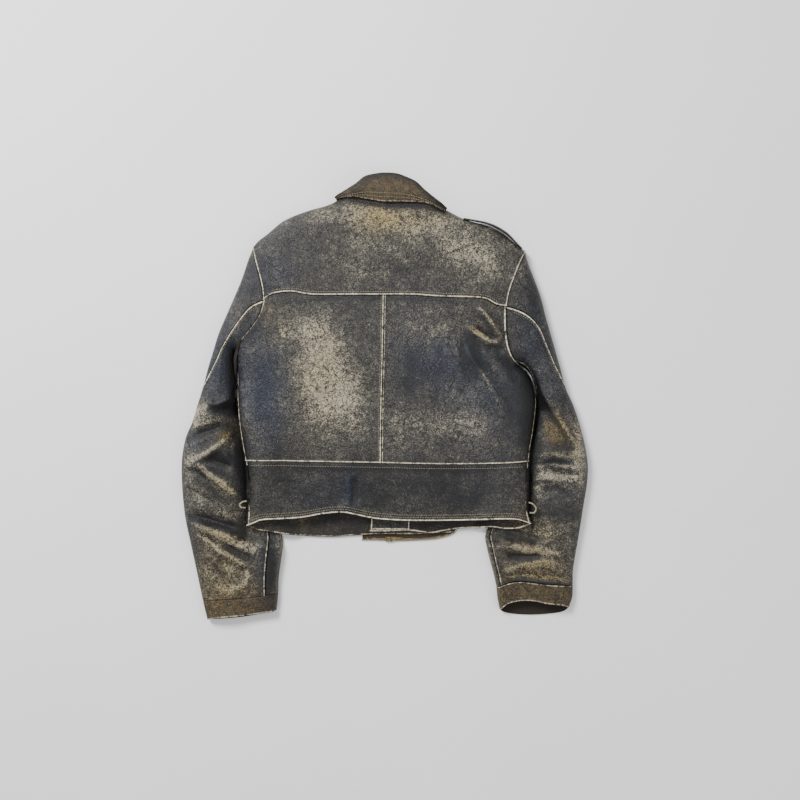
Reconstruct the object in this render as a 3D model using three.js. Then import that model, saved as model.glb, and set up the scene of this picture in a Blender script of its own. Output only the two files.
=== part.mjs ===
// A worn leather motorcycle jacket that lies face down on a floor, its back uppermost and its sleeves
// at its sides. Millimetres: +X is to the right of the back, +Y towards the collar, +Z up.
// Each cut piece is a wall of leather laid on the form that the whole garment takes on the floor.

import * as THREE from "three";

// Leather
const LEATHER = 1.8;
const THIN_LEATHER = 1.3;
const SEAM_GAP = 0.34;
const FLOOR_GAP = 0.4;

// How the garment lies: an edge where the leather turns under, and how high it stands above that
const EDGE_HEIGHT = 8;
const PRESSED_EDGE = 4;
const TOP_ROLL = 32;
const UNDER_ROLL = 12;
const PRESSED_ROLL = 8;
const BACK_CREST = 23;
const HEM_CREST = 15;
const CUFF_CREST = 13;

// The body's lower corners lie on the sleeves, which are pressed flat under them
const SLEEVE_UNDER_BODY = 8.5;
const BODY_ON_SLEEVE = 11.5;
const PRESS_SLOPE = 0.7;

// The fronts lie on their lapels and zip tape, and the right front lies on the left one
const LAPEL_LIFT = LEATHER + FLOOR_GAP;
const OVERLAP_LIFT = LAPEL_LIFT + LEATHER + FLOOR_GAP;
const FRONT_EDGE_X = 116;
const UNDERLAP_X = -26;

// Outlines of the garment as it lies, in plan. Each list follows one seam or edge.
const NECK_SEAM = [[-86, 322], [-66, 327], [-41, 330], [8, 332], [58, 327], [84, 318], [102, 310]];
const YOKE_LEFT = [[-200, 158], [-191, 165], [-178, 170], [-152, 172], [-119, 167], [-66, 167], [-1, 167]];
const YOKE_RIGHT = [[-1, 167], [45, 167], [92, 164], [153, 162], [170, 158], [183, 151], [200, 148]];
const CENTRE_SEAM = [[-6, -109], [-5, -21], [-3, 61], [-1, 167]];
const WAIST_LEFT = [[-229, -106], [-180, -106], [-125, -107], [-71, -108], [-6, -109]];
const WAIST_RIGHT = [[-6, -109], [74, -111], [140, -111], [190, -110], [236, -107]];
const BACK_HEM = [
  [-228, -214], [-214, -208], [-198, -203], [-140, -200], [-104, -194], [-71, -191], [-48, -195],
  [-25, -200], [0, -203], [41, -205], [91, -205], [140, -204], [190, -202], [219, -203], [241, -211],
];
const FRONT_HEM_LEFT = [
  [-228, -214], [-214, -220], [-190, -224], [-140, -231], [-91, -233], [-54, -231], [-10, -229],
  [50, -229], [FRONT_EDGE_X, -226],
];
const FRONT_HEM_RIGHT = [
  [UNDERLAP_X, -224], [0, -224], [41, -223], [66, -226], [78, -227], [99, -223], [127, -219],
  [157, -218], [177, -216], [198, -219], [223, -218], [241, -211],
];
const FRONT_EDGE_LEFT = [[FRONT_EDGE_X, -226], [118, -100], [116, 40], [98, 125], [20, 218], [-86, 322]];
const FRONT_EDGE_RIGHT = [[UNDERLAP_X, -224], [-28, -100], [-24, 40], [-8, 130], [48, 222], [102, 310]];

const LEFT = {
  shoulder: [[-219, 248], [-210, 259], [-193, 272], [-173, 289], [-152, 300], [-124, 310], [-99, 317], [-86, 322]],
  armholeHigh: [[-219, 248], [-213, 223], [-206, 198], [-201, 175], [-200, 158]],
  armholeLow: [[-200, 158], [-205, 139], [-213, 124], [-226, 107], [-239, 92], [-248, 76]],
  sideHigh: [[-248, 76], [-244, 36], [-243, -5], [-239, -46], [-234, -79], [-229, -106]],
  sideLow: [[-229, -106], [-226, -137], [-226, -170], [-226, -195], [-228, -214]],
  outer: [
    [-219, 248], [-228, 226], [-238, 196], [-251, 165], [-264, 135], [-276, 107], [-285, 78], [-294, 48],
    [-302, 18], [-310, -8], [-320, -41], [-330, -64], [-336, -91], [-338, -114], [-337, -153],
    [-332, -200], [-323, -243], [-315, -280], [-307, -318], [-303, -337],
  ],
  outerCuff: [[-303, -337], [-299, -354], [-295, -370]],
  inner: [
    [-248, 76], [-257, 62], [-261, 42], [-260, 18], [-250, -16], [-229, -58], [-210, -107], [-191, -162],
    [-177, -208], [-170, -241], [-173, -269], [-177, -299], [-178, -325],
  ],
  innerCuff: [[-178, -325], [-179, -340], [-181, -355]],
  cuffSeam: [[-303, -337], [-239, -333], [-214, -331], [-178, -325]],
  cuffTop: [[-295, -370], [-280, -366], [-256, -364], [-223, -361], [-181, -355]],
  cuffUnder: [[-295, -370], [-278, -370], [-250, -368], [-220, -364], [-181, -355]],
};

const RIGHT = {
  shoulder: [[233, 241], [216, 254], [198, 269], [173, 282], [148, 290], [127, 297], [102, 310]],
  armholeHigh: [[233, 241], [222, 219], [213, 196], [205, 173], [200, 148]],
  armholeLow: [[200, 148], [200, 130], [201, 104], [205, 81], [211, 66], [221, 54]],
  sideHigh: [[221, 54], [234, 43], [244, 25], [249, 3], [248, -21], [244, -54], [239, -82], [236, -107]],
  sideLow: [[236, -107], [235, -137], [234, -170], [236, -193], [241, -211]],
  outer: [
    [233, 241], [239, 219], [249, 193], [259, 165], [267, 134], [276, 102], [284, 73], [292, 45],
    [300, 15], [312, -12], [322, -41], [330, -71], [335, -96], [337, -120], [335, -148], [330, -178],
    [325, -210], [320, -241], [315, -269], [312, -292], [312, -312],
  ],
  outerCuff: [[312, -312], [311, -332], [305, -350]],
  inner: [
    [221, 54], [237, 45], [249, 26], [255, 3], [255, -20], [249, -48], [236, -87], [219, -129], [198, -170],
    [180, -203], [167, -229], [169, -249], [175, -274], [181, -296], [185, -315],
  ],
  innerCuff: [[185, -315], [187, -335], [191, -354]],
  cuffSeam: [[312, -312], [266, -309], [224, -305], [203, -308], [185, -315]],
  cuffTop: [[305, -350], [292, -345], [267, -342], [246, -338], [224, -338], [203, -343], [191, -354]],
  cuffUnder: [[305, -350], [295, -358], [266, -362], [234, -363], [203, -360], [191, -354]],
};

// Where the back seam of each sleeve crosses the sleeve's upper face on its way to the outer edge,
// and how far the inner seam lies in from the inner edge at the cuff, as shares of the width
const BACK_SEAM_END = 0.42;
const BACK_SEAM_WRAP = 0.035;
LEFT.innerSeamAtCuff = 0.16;
RIGHT.innerSeamAtCuff = 0.05;

// Sampling: shares along each edge where a panel has a row or a column. Panels that are sewn
// together share theirs. They crowd towards an edge where the leather turns under.
const HIGH_ARM = [0, 0.09, 0.19, 0.32, 0.5, 0.74, 1];
const LOW_ARM = [0, 0.1, 0.21, 0.31, 0.42, 0.52, 0.63, 0.74, 0.84, 0.93, 1];
const FRONT_ARM = [0, 0.02, 0.07, 0.35, 0.65, 0.93, 0.98, 1];
const SIDE_HIGH = [0, 0.13, 0.26, 0.39, 0.52, 0.64, 0.76, 0.88, 1];
const SIDE_LOW = [0, 0.3, 0.6, 0.85, 1];
const HALF_BACK = [0, 0.016, 0.055, 0.13, 0.22, 0.31, 0.4, 0.5, 0.6, 0.7, 0.8, 0.9, 1];
const FRONT_ACROSS = [0, 0.005, 0.016, 0.04, 0.09, 0.15, 0.21, 0.29, 0.4, 0.53, 0.68, 0.84, 1];
const SLEEVE_ACROSS = [0, 0.04, 0.12, 0.24, 0.39, 0.56, 0.75, 0.91, 1];
const SLEEVE_ROWS = 23;
const CUFF_ROWS = [0, 0.5, 1];

const mix = THREE.MathUtils.lerp;
const ease = (value, from, to) => THREE.MathUtils.smoothstep(value, from, to);
const spline = (points) => new THREE.SplineCurve(points.map(([x, y]) => new THREE.Vector2(x, y)));
const backwards = (points) => [...points].reverse();

// A route through several curves; `share` runs 0 to 1 over it, and `ends` says where each one stops.
function route(lists, ends = [1]) {
  const curves = lists.map(spline);
  return (share) => {
    const piece = Math.max(0, ends.findIndex((end) => share <= end + 1e-9));
    const from = piece ? ends[piece - 1] : 0;
    return curves[piece].getPointAt(THREE.MathUtils.clamp((share - from) / (ends[piece] - from), 0, 1));
  };
}

// Edges where the leather turns under, as short straight stretches
const STRETCH = 5;
function stretches(points) {
  const curve = spline(points);
  return curve.getSpacedPoints(Math.ceil(curve.getLength() / STRETCH));
}

const ON_EDGE = 0.4;
// How far a place is in from the nearest of some edges, and the way that leads inward from it.
function inward(edges, x, y) {
  let best = { away: Infinity };
  for (const { line, side } of edges) {
    for (let i = 0; i + 1 < line.length; i++) {
      const ax = line[i].x;
      const ay = line[i].y;
      const dx = line[i + 1].x - ax;
      const dy = line[i + 1].y - ay;
      const length = Math.hypot(dx, dy);
      const along = THREE.MathUtils.clamp(((x - ax) * dx + (y - ay) * dy) / length ** 2, 0, 1);
      const wx = x - ax - along * dx;
      const wy = y - ay - along * dy;
      const away = Math.hypot(wx, wy);
      if (away < best.away - 1e-6) {
        const onEdge = away < ON_EDGE;
        const gx = onEdge ? (side * -dy) / length : wx / away;
        const gy = onEdge ? (side * dx) / length : wy / away;
        const distance = onEdge ? Math.max(0, (side * (dx * wy - dy * wx)) / length) : away;
        best = { away, distance, gx, gy };
      }
    }
  }
  return best;
}

// `side` says which side of the line is leather: 1 is to its left as it is drawn, -1 to its right.
const LEFT_EDGES = {
  shoulder: { line: stretches(LEFT.shoulder), side: -1 },
  outer: { line: [...stretches(LEFT.outer), ...stretches(LEFT.outerCuff)], side: 1 },
  inner: { line: [...stretches(LEFT.inner), ...stretches(LEFT.innerCuff)], side: -1 },
  side: { line: [...stretches(LEFT.sideHigh), ...stretches(LEFT.sideLow)], side: 1 },
};
const RIGHT_EDGES = {
  shoulder: { line: stretches(RIGHT.shoulder), side: 1 },
  outer: { line: [...stretches(RIGHT.outer), ...stretches(RIGHT.outerCuff)], side: -1 },
  inner: { line: [...stretches(RIGHT.inner), ...stretches(RIGHT.innerCuff)], side: 1 },
  side: { line: [...stretches(RIGHT.sideHigh), ...stretches(RIGHT.sideLow)], side: -1 },
};

// The x of an edge that runs down the garment, at a height y
function edgeX({ line }, y) {
  const next = line.findIndex((p) => p.y < y);
  if (next < 0) return line[line.length - 1].x;
  if (next === 0) return line[0].x;
  const high = line[next - 1];
  const low = line[next];
  return mix(high.x, low.x, (high.y - y) / (high.y - low.y));
}

// How far a sleeve reaches in under the body at height y; negative where it lies clear of it
function sleeveUnderBody(edges, outwards, y) {
  return outwards * (edgeX(edges.side, y) - edgeX(edges.inner, y));
}

// The sleeve is pressed where it is close to the body's side, below the underarm
const LIFT_RAMP = 45;
const underarmFade = (y) => ease(-y, -30, 25);
const pressed = (reach, y) => ease(reach, -14, -2) * underarmFade(y);

function bodyLift(x, y) {
  const outwards = x < 0 ? -1 : 1;
  const edges = x < 0 ? LEFT_EDGES : RIGHT_EDGES;
  const reach = sleeveUnderBody(edges, outwards, y);
  const inFromSide = outwards * (edgeX(edges.side, y) - x);
  const here = BODY_ON_SLEEVE * ease(reach, -12, 1) * underarmFade(y);
  return here * (1 - ease(inFromSide, reach + 5, reach + 5 + LIFT_RAMP));
}

// A fold that runs through some plan points: a soft ridge, or a trough where `rise` is negative.
// It fades out over `fade` of its length at both ends.
function fold(points, rise, width, fade = 0.3) {
  const line = stretches(points);
  const last = line.length - 1;
  return (x, y) => {
    let nearest = Infinity;
    let at = 0;
    for (let i = 0; i <= last; i++) {
      const distance = Math.hypot(x - line[i].x, y - line[i].y);
      if (distance < nearest) {
        nearest = distance;
        at = i / last;
      }
    }
    const ends = ease(Math.min(at, 1 - at), 0, fade) * 0.85 + 0.15;
    return rise * ends * Math.exp(-((nearest / width) ** 2));
  };
}

// A ledge: leather on the left of the line, as it is drawn, overhangs what is on its right.
const LEDGE_REACH = 30;
const LEDGE_DROP = 8;
function ledge(points, rise) {
  const line = stretches(points);
  const last = line.length - 1;
  return (x, y) => {
    let nearest = Infinity;
    let at = 0;
    for (let i = 0; i <= last; i++) {
      const distance = Math.hypot(x - line[i].x, y - line[i].y);
      if (distance < nearest) {
        nearest = distance;
        at = i;
      }
    }
    const a = line[Math.max(0, at - 1)];
    const b = line[Math.min(last, at + 1)];
    const left = (b.x - a.x) * (y - line[at].y) - (b.y - a.y) * (x - line[at].x) > 0;
    const share = at / last;
    const ends = ease(Math.min(share, 1 - share), 0, 0.25);
    return rise * ends * (left ? Math.exp(-nearest / LEDGE_REACH) : Math.exp(-((nearest / LEDGE_DROP) ** 2)));
  };
}

const total = (folds) => (x, y) => folds.reduce((sum, each) => sum + each(x, y), 0);

// The back pulls from the right armhole, and its band dips once left of the centre
const BACK_FOLDS = total([
  fold([[150, 150], [168, 131], [185, 107], [193, 93]], 3.5, 9),
  fold([[134, 118], [153, 103], [172, 91], [190, 86]], 3.5, 8),
  fold([[147, 120], [170, 101], [186, 96]], -2.5, 6),
  fold([[167, 86], [182, 82], [195, 74]], -3, 7),
  fold([[127, 101], [138, 70], [153, 48], [172, 19], [193, -22], [214, -54]], 3, 10),
  fold([[125, 97], [127, 71], [136, 36], [153, 7]], -2.5, 9),
  fold([[185, 69], [208, 40], [223, 20]], -2.5, 9),
  fold([[-52, -128], [-49, -155], [-50, -186]], -3, 9),
  fold([[-80, -186], [-60, -180], [-40, -186]], 3, 14),
  fold([[-150, 120], [-120, 60], [-130, 0]], 1.6, 26),
  fold([[60, 40], [70, -30], [110, -80]], 1.6, 24),
  fold([[-60, 250], [0, 240], [70, 250]], 1.8, 26),
]);

const LEFT_FOLDS = total([
  ledge([[-244, 0], [-258, -6], [-278, -13], [-295, -6]], 7),
  fold([[-295, -5], [-306, -30], [-318, -58]], 3.5, 9),
  fold([[-324, -67], [-298, -55], [-270, -45], [-252, -38]], -5, 8),
  fold([[-313, -104], [-290, -90], [-268, -76]], 5, 8),
  fold([[-313, -104], [-284, -130], [-256, -150], [-238, -165]], 5, 8),
  fold([[-294, -97], [-270, -108], [-250, -118]], -4, 9),
  fold([[-331, -118], [-310, -122], [-292, -138]], -4, 7),
  fold([[-326, -204], [-289, -215], [-256, -223], [-222, -229]], 5.5, 9),
  fold([[-315, -196], [-270, -206], [-232, -214]], -4, 8),
  fold([[-278, -234], [-248, -247], [-218, -262]], 4.5, 8),
  fold([[-262, -230], [-236, -238], [-212, -246]], -3, 7),
  fold([[-234, -286], [-226, -298], [-238, -311], [-256, -319]], 2.5, 8),
]);

const RIGHT_FOLDS = total([
  ledge([[229, 66], [243, 40], [256, 8], [270, -14], [286, -38], [302, -64], [316, -82]].reverse(), 7),
  fold([[318, -86], [326, -102], [318, -118]], 3, 9),
  fold([[238, -98], [266, -92], [300, -96], [326, -88]], 3, 9),
  fold([[240, -124], [268, -118], [300, -124], [326, -122]], -3, 8),
  fold([[236, -142], [262, -134], [296, -136]], 3.5, 8),
  fold([[180, -232], [206, -240], [240, -250], [276, -256], [300, -262]], 4.5, 10),
  fold([[196, -214], [226, -226], [262, -236]], -3, 9),
  fold([[190, -290], [222, -278], [258, -270], [290, -276]], 3.5, 9),
  fold([[196, -262], [228, -262], [262, -258]], -3, 8),
  fold([[188, -302], [226, -297], [268, -298], [304, -302]], -2.5, 7),
]);

// The lesser of two heights, rounded where they cross
const SOFT = 2;
const softLeast = (a, b) => -SOFT * Math.log(Math.exp(-a / SOFT) + Math.exp(-b / SOFT));

// The three forms that lie on the floor. Each gives, at a plan point, the height of its turned
// edge and of its upper face above that edge.
const BODY = {
  edges: [LEFT_EDGES.shoulder, LEFT_EDGES.outer, LEFT_EDGES.side, RIGHT_EDGES.shoulder,
    RIGHT_EDGES.outer, RIGHT_EDGES.side],
  edgeHeight: (x, y) => EDGE_HEIGHT + bodyLift(x, y),
  crest: (x, y) => mix(HEM_CREST, BACK_CREST, ease(y, -230, -60)) - bodyLift(x, y) / 2 + BACK_FOLDS(x, y),
  topRoll: () => TOP_ROLL,
  underRoll: () => UNDER_ROLL,
};

// At an armhole the body and the sleeve are one form
const ARMHOLE = {
  edges: [...Object.values(LEFT_EDGES), ...Object.values(RIGHT_EDGES)],
  edgeHeight: () => EDGE_HEIGHT,
  crest: (x, y) => BACK_CREST + BACK_FOLDS(x, y),
  topRoll: () => TOP_ROLL,
  underRoll: () => UNDER_ROLL,
};

function sleeveForm(edges, outwards, folds) {
  const hold = (y) => pressed(sleeveUnderBody(edges, outwards, y), y);
  const innerHold = (x, y) => {
    const middle = mix(edgeX(edges.inner, y), edgeX(edges.outer, y), 0.5);
    return outwards * (middle - x) > 0 ? hold(y) : 0;
  };
  const edgeHeight = (x, y) => mix(EDGE_HEIGHT, PRESSED_EDGE, innerHold(x, y));
  const free = (x, y) => mix(CUFF_CREST, BACK_CREST, ease(y, -380, 40)) + folds(x, y);
  const room = (x, y) => {
    const out = Math.max(0, outwards * (x - edgeX(edges.side, y)) - 3);
    const belowHem = ease(-y, 230, 268) * 30;
    const ceiling = SLEEVE_UNDER_BODY + PRESS_SLOPE * out + (1 - hold(y)) * 45 + belowHem;
    return ceiling - edgeHeight(x, y);
  };
  return {
    edges: [edges.shoulder, edges.outer, edges.inner],
    edgeHeight,
    crest: (x, y) => softLeast(free(x, y), room(x, y)),
    topRoll: (x, y) => mix(TOP_ROLL, PRESSED_ROLL, innerHold(x, y)),
    underRoll: (x, y) => mix(UNDER_ROLL, PRESSED_ROLL, innerHold(x, y)),
  };
}
const LEFT_SLEEVE = sleeveForm(LEFT_EDGES, -1, LEFT_FOLDS);
const RIGHT_SLEEVE = sleeveForm(RIGHT_EDGES, 1, RIGHT_FOLDS);

// The upper face of a form at a plan point
const upperHeight = (form, x, y, turned) => form.edgeHeight(x, y) + form.crest(x, y) * turned;

const STEP = 0.5;
function slope(height, x, y) {
  return [
    (height(x + STEP, y) - height(x - STEP, y)) / (2 * STEP),
    (height(x, y + STEP) - height(x, y - STEP)) / (2 * STEP),
  ];
}

function turn(distance, radius) {
  const level = Math.max(0, 1 - distance / radius);
  return { level, turned: Math.sqrt(1 - level * level) };
}

function onTop(form, x, y) {
  const { distance, gx, gy } = inward(form.edges, x, y);
  const roll = form.topRoll(x, y);
  const { level, turned } = turn(distance, roll);
  const z = upperHeight(form, x, y, turned);
  const [sx, sy] = slope((px, py) => upperHeight(form, px, py, turned), x, y);
  const across = roll * turned;
  const drop = form.crest(x, y) * level;
  const normal = new THREE.Vector3(-across * sx - drop * gx, -across * sy - drop * gy, across);
  return { point: new THREE.Vector3(x, y, z), normal: normal.normalize() };
}

// The face of a form that lies downwards, over a floor whose height is `ground`
function below(form, ground, x, y) {
  const { distance, gx, gy } = inward(form.edges, x, y);
  const roll = form.underRoll(x, y);
  const { level, turned } = turn(distance, roll);
  const edge = form.edgeHeight(x, y);
  const drop = edge - ground(x, y);
  const smooth = (px, py) => form.edgeHeight(px, py) * (1 - turned) + ground(px, py) * turned;
  const [sx, sy] = slope(smooth, x, y);
  const across = roll * turned;
  const normal = new THREE.Vector3(across * sx - drop * level * gx, across * sy - drop * level * gy, -across);
  return { point: new THREE.Vector3(x, y, edge - drop * turned), normal: normal.normalize() };
}

// Plan points of a four-sided panel, blended between its sides. A side is a route from 0 to 1.
function patch({ low, high, left, right }, across, up) {
  return up.map((b) =>
    across.map((a) => {
      const point = new THREE.Vector2();
      point.addScaledVector(low(a), 1 - b).addScaledVector(high(a), b);
      point.addScaledVector(left(b), 1 - a).addScaledVector(right(b), a);
      point.addScaledVector(low(0), -(1 - a) * (1 - b)).addScaledVector(low(1), -a * (1 - b));
      point.addScaledVector(high(0), -(1 - a) * b).addScaledVector(high(1), -a * b);
      return point;
    }),
  );
}

// Closes a grid of places into a wall: the outer face, the inner face a leather's thickness in, and
// the rim between them. Each sewn edge is drawn in by half the seam gap.
function wall(grid, thickness = LEATHER) {
  const rows = grid.length;
  const columns = grid[0].length;
  const outer = grid.map((row) => row.map(({ point }) => point.clone()));
  const inner = grid.map((row) =>
    row.map(({ point, normal }) => point.clone().addScaledVector(normal, -thickness)),
  );
  for (const sheet of [outer, inner]) {
    const pull = (from, to) => from.add(to.clone().sub(from).setLength(SEAM_GAP / 2));
    for (let j = 0; j < columns; j++) {
      pull(sheet[0][j], sheet[1][j]);
      pull(sheet[rows - 1][j], sheet[rows - 2][j]);
    }
    for (let i = 0; i < rows; i++) {
      pull(sheet[i][0], sheet[i][1]);
      pull(sheet[i][columns - 1], sheet[i][columns - 2]);
    }
  }
  const vertices = [...outer.flat(), ...inner.flat()];
  const at = (i, j, layer) => (layer * rows + i) * columns + j;
  const faces = [];
  const quad = (a, b, c, d) => faces.push(a, b, c, a, c, d);
  for (let i = 0; i + 1 < rows; i++) {
    for (let j = 0; j + 1 < columns; j++) {
      quad(at(i, j, 0), at(i, j + 1, 0), at(i + 1, j + 1, 0), at(i + 1, j, 0));
      quad(at(i, j, 1), at(i + 1, j, 1), at(i + 1, j + 1, 1), at(i, j + 1, 1));
    }
    quad(at(i, 0, 0), at(i + 1, 0, 0), at(i + 1, 0, 1), at(i, 0, 1));
    const j = columns - 1;
    quad(at(i, j, 0), at(i, j, 1), at(i + 1, j, 1), at(i + 1, j, 0));
  }
  for (let j = 0; j + 1 < columns; j++) {
    quad(at(0, j, 0), at(0, j, 1), at(0, j + 1, 1), at(0, j + 1, 0));
    const i = rows - 1;
    quad(at(i, j, 0), at(i, j + 1, 0), at(i, j + 1, 1), at(i, j, 1));
  }
  return facingOut(vertices, faces);
}

// A closed body's geometry, with its faces turned to point out
function facingOut(vertices, faces) {
  let volume = 0;
  for (let i = 0; i < faces.length; i += 3) {
    const [a, b, c] = [0, 1, 2].map((k) => vertices[faces[i + k]]);
    volume += a.dot(b.clone().cross(c));
  }
  const index = volume > 0 ? faces : faces.toReversed();
  const geometry = new THREE.BufferGeometry().setFromPoints(vertices);
  geometry.setIndex(index);
  geometry.computeVertexNormals();
  return geometry;
}

// Materials
const leather = (color, roughness) => new THREE.MeshStandardMaterial({ color, roughness, metalness: 0 });
const BODY_LEATHER = leather(0x3c3c40, 0.55);
const COLLAR_LEATHER = leather(0x3a3222, 0.5);
const CUFF_LEATHER = leather(0x4a3d2c, 0.6);
const EDGE_LEATHER = leather(0x1f1f20, 0.5);
const TAPE = leather(0x2b231b, 0.9);
const BRASS = new THREE.MeshStandardMaterial({ color: 0x6d5f45, roughness: 0.45, metalness: 0.9 });

const jacket = new THREE.Group();
function add(name, geometry, material) {
  const mesh = new THREE.Mesh(geometry, material);
  mesh.name = name;
  jacket.add(mesh);
  return mesh;
}

const joined = (low, high, at) => [...low.map((v) => v * at), ...high.slice(1).map((v) => at + v * (1 - at))];
const reversed = (shares) => shares.map((v) => 1 - v).toReversed();

// The yoke runs from armhole to armhole, and up to both shoulder lines and the neck
function yoke() {
  const seamAt = 0.5;
  const neckFrom = 0.3;
  const neckTo = 0.72;
  const sides = {
    low: route([YOKE_LEFT, YOKE_RIGHT], [seamAt, 1]),
    high: route([LEFT.shoulder, NECK_SEAM, backwards(RIGHT.shoulder)], [neckFrom, neckTo, 1]),
    left: route([backwards(LEFT.armholeHigh)]),
    right: route([backwards(RIGHT.armholeHigh)]),
  };
  const across = joined(HALF_BACK, reversed(HALF_BACK), seamAt);
  const isArmhole = (j) => j === 0 || j === across.length - 1;
  const plan = patch(sides, across, reversed(HIGH_ARM));
  return wall(plan.map((row) => row.map(({ x, y }, j) => onTop(isArmhole(j) ? ARMHOLE : BODY, x, y))));
}

// A half of the back, from the centre seam to its side seam and armhole
const UNDERARM_AT = 0.66;
function backPanel(side, waist, yokeSeam, isLeft) {
  const edge = route([backwards(side.sideHigh), backwards(side.armholeLow)], [UNDERARM_AT, 1]);
  const centre = route([CENTRE_SEAM]);
  const sides = {
    low: route([waist]),
    high: route([yokeSeam]),
    left: isLeft ? edge : centre,
    right: isLeft ? centre : edge,
  };
  const across = isLeft ? HALF_BACK : reversed(HALF_BACK);
  const up = joined(reversed(SIDE_HIGH), reversed(LOW_ARM), UNDERARM_AT);
  const isArmhole = (i, j) => i >= SIDE_HIGH.length && j === (isLeft ? 0 : across.length - 1);
  const form = (i, j) => (isArmhole(i, j) ? ARMHOLE : BODY);
  return wall(patch(sides, across, up).map((row, i) => row.map(({ x, y }, j) => onTop(form(i, j), x, y))));
}

// The waistband, in one piece across the back
function waistband() {
  const seamAt = 0.48;
  const sides = {
    low: route([BACK_HEM]),
    high: route([WAIST_LEFT, WAIST_RIGHT], [seamAt, 1]),
    left: route([backwards(LEFT.sideLow)]),
    right: route([backwards(RIGHT.sideLow)]),
  };
  const across = joined(HALF_BACK, reversed(HALF_BACK), seamAt);
  return wall(patch(sides, across, reversed(SIDE_LOW)).map((row) => row.map(({ x, y }) => onTop(BODY, x, y))));
}

// Ground under each front: the floor, the lapels and tape, the sleeves, and the other front
const MIDDLE_X = 8;
const lapelLift = (x) => LAPEL_LIFT * (1 - ease(Math.abs(x - MIDDLE_X), 130, 180));
const overlapLift = (x) => mix(OVERLAP_LIFT, lapelLift(x), ease(x, FRONT_EDGE_X + 30, FRONT_EDGE_X + 70));
const underLeft = (x, y) => Math.max(lapelLift(x), bodyLift(x, y));
const underRight = (x, y) => Math.max(overlapLift(x), bodyLift(x, y));

const FRONT_BREAKS = [0.18, 0.52];
function frontPanel(side, hem, frontEdge, ground, isLeft) {
  const edge = route(
    [side.sideLow, side.sideHigh, side.armholeLow, side.armholeHigh].map(backwards),
    [...FRONT_BREAKS, (FRONT_BREAKS[1] + 1) / 2, 1],
  );
  const front = route([frontEdge]);
  const sides = {
    low: route([hem]),
    high: route([isLeft ? side.shoulder : backwards(side.shoulder)]),
    left: isLeft ? edge : front,
    right: isLeft ? front : edge,
  };
  const across = isLeft ? FRONT_ACROSS : reversed(FRONT_ACROSS);
  const lowRows = joined(reversed(SIDE_LOW), reversed(SIDE_HIGH), FRONT_BREAKS[0] / FRONT_BREAKS[1]);
  const up = joined(lowRows, FRONT_ARM, FRONT_BREAKS[1]);
  const isArmhole = (i, j) => i >= lowRows.length && j === (isLeft ? 0 : across.length - 1);
  const form = (i, j) => (isArmhole(i, j) ? ARMHOLE : BODY);
  return wall(patch(sides, across, up).map((row, i) => row.map(({ x, y }, j) => below(form(i, j), ground, x, y))));
}

// Plan points across one face of a sleeve, `share` running from the outer edge to the inner one.
// The bow of the armhole dies away down the sleeve, and that of the cuff up it.
const BOW_FADE = 10;
const SEAM_SPREAD = 150;
function sleeveFace(side, outwards) {
  const outer = route([side.outer]);
  const inner = route([side.inner]);
  const armhole = route([side.armholeHigh, side.armholeLow], [0.5, 1]);
  const end = route([side.cuffSeam]);
  const bow = (curve, share) => curve(share).sub(curve(0).lerp(curve(1), share));
  const away = (share) => {
    const way = armhole(Math.min(1, share + 0.01)).sub(armhole(share - 0.01)).normalize();
    const weight = Math.min(1, 4 * share, 8 * (1 - share));
    return new THREE.Vector2(-way.y, way.x).multiplyScalar(outwards * weight);
  };
  return (along, share) =>
    outer(along)
      .lerp(inner(along), share)
      .addScaledVector(away(share), SEAM_SPREAD * along * (1 - along) ** (BOW_FADE + 4))
      .addScaledVector(bow(armhole, share), (1 - along) ** BOW_FADE)
      .addScaledVector(bow(end, share), along ** BOW_FADE);
}

// Each sleeve is two pieces. `ring` counts round the sleeve: 0 is its outer edge, 1 its inner edge
// over the upper face, and -1 the inner edge by way of the face that lies down.
function backSeam(along) {
  const straight = 0.5 * (1 - Math.min(1, along / BACK_SEAM_END));
  return straight - BACK_SEAM_WRAP * ease(along, BACK_SEAM_END - 0.15, BACK_SEAM_END + 0.2);
}

const INNER_SEAM_START = 0.5 * (1 - LOW_ARM.at(-2));
const innerSeam = (side, along) => 1 - mix(INNER_SEAM_START, side.innerSeamAtCuff, ease(along, 0.1, 1));

// Places round the under piece, which has the upper face from the back seam to the inner seam
function underRings(side, along) {
  const from = backSeam(along);
  const to = innerSeam(side, along);
  const next = Math.max(0, from + 0.03);
  const low = [from, ...SLEEVE_ACROSS.map((share) => mix(next, to, share))];
  const spread = ease(along, 0, BACK_SEAM_END);
  return low.map((ring, j) => mix(mix(from, to, LOW_ARM[j] / LOW_ARM.at(-2)), ring, spread));
}

// Places round the top piece: the inner edge, the whole face that lies down, and the outer edge
function topRings(side, along) {
  const from = innerSeam(side, along) - 2;
  const to = backSeam(along);
  const turnAt = Math.min(0, to - 0.06);
  const strip = [0, 0.6].map((share) => mix(from, -1, share));
  const down = FRONT_ARM.map((share) => mix(-1, turnAt, share));
  const back = HIGH_ARM.slice(1).map((share) => mix(turnAt, to, share));
  return [...strip, ...down, ...back];
}

function sleeve(side, outwards, form, name) {
  const face = sleeveFace(side, outwards);
  const place = (along, ring) => {
    const isUp = ring >= 0 || ring < -1;
    const share = ring < -1 ? ring + 2 : Math.abs(ring);
    const { x, y } = face(along, share);
    const here = along === 0 && share < 1 ? ARMHOLE : form;
    return isUp ? onTop(here, x, y) : below(here, () => 0, x, y);
  };
  const rows = Array.from({ length: SLEEVE_ROWS + 1 }, (_, i) => i / SLEEVE_ROWS);
  const under = rows.map((along) => underRings(side, along).map((ring) => place(along, ring)));
  const top = rows.map((along) => topRings(side, along).map((ring) => place(along, ring)));
  add(`${name}_under_sleeve`, wall(under), BODY_LEATHER);
  add(`${name}_top_sleeve`, wall(top), BODY_LEATHER);
}

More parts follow.
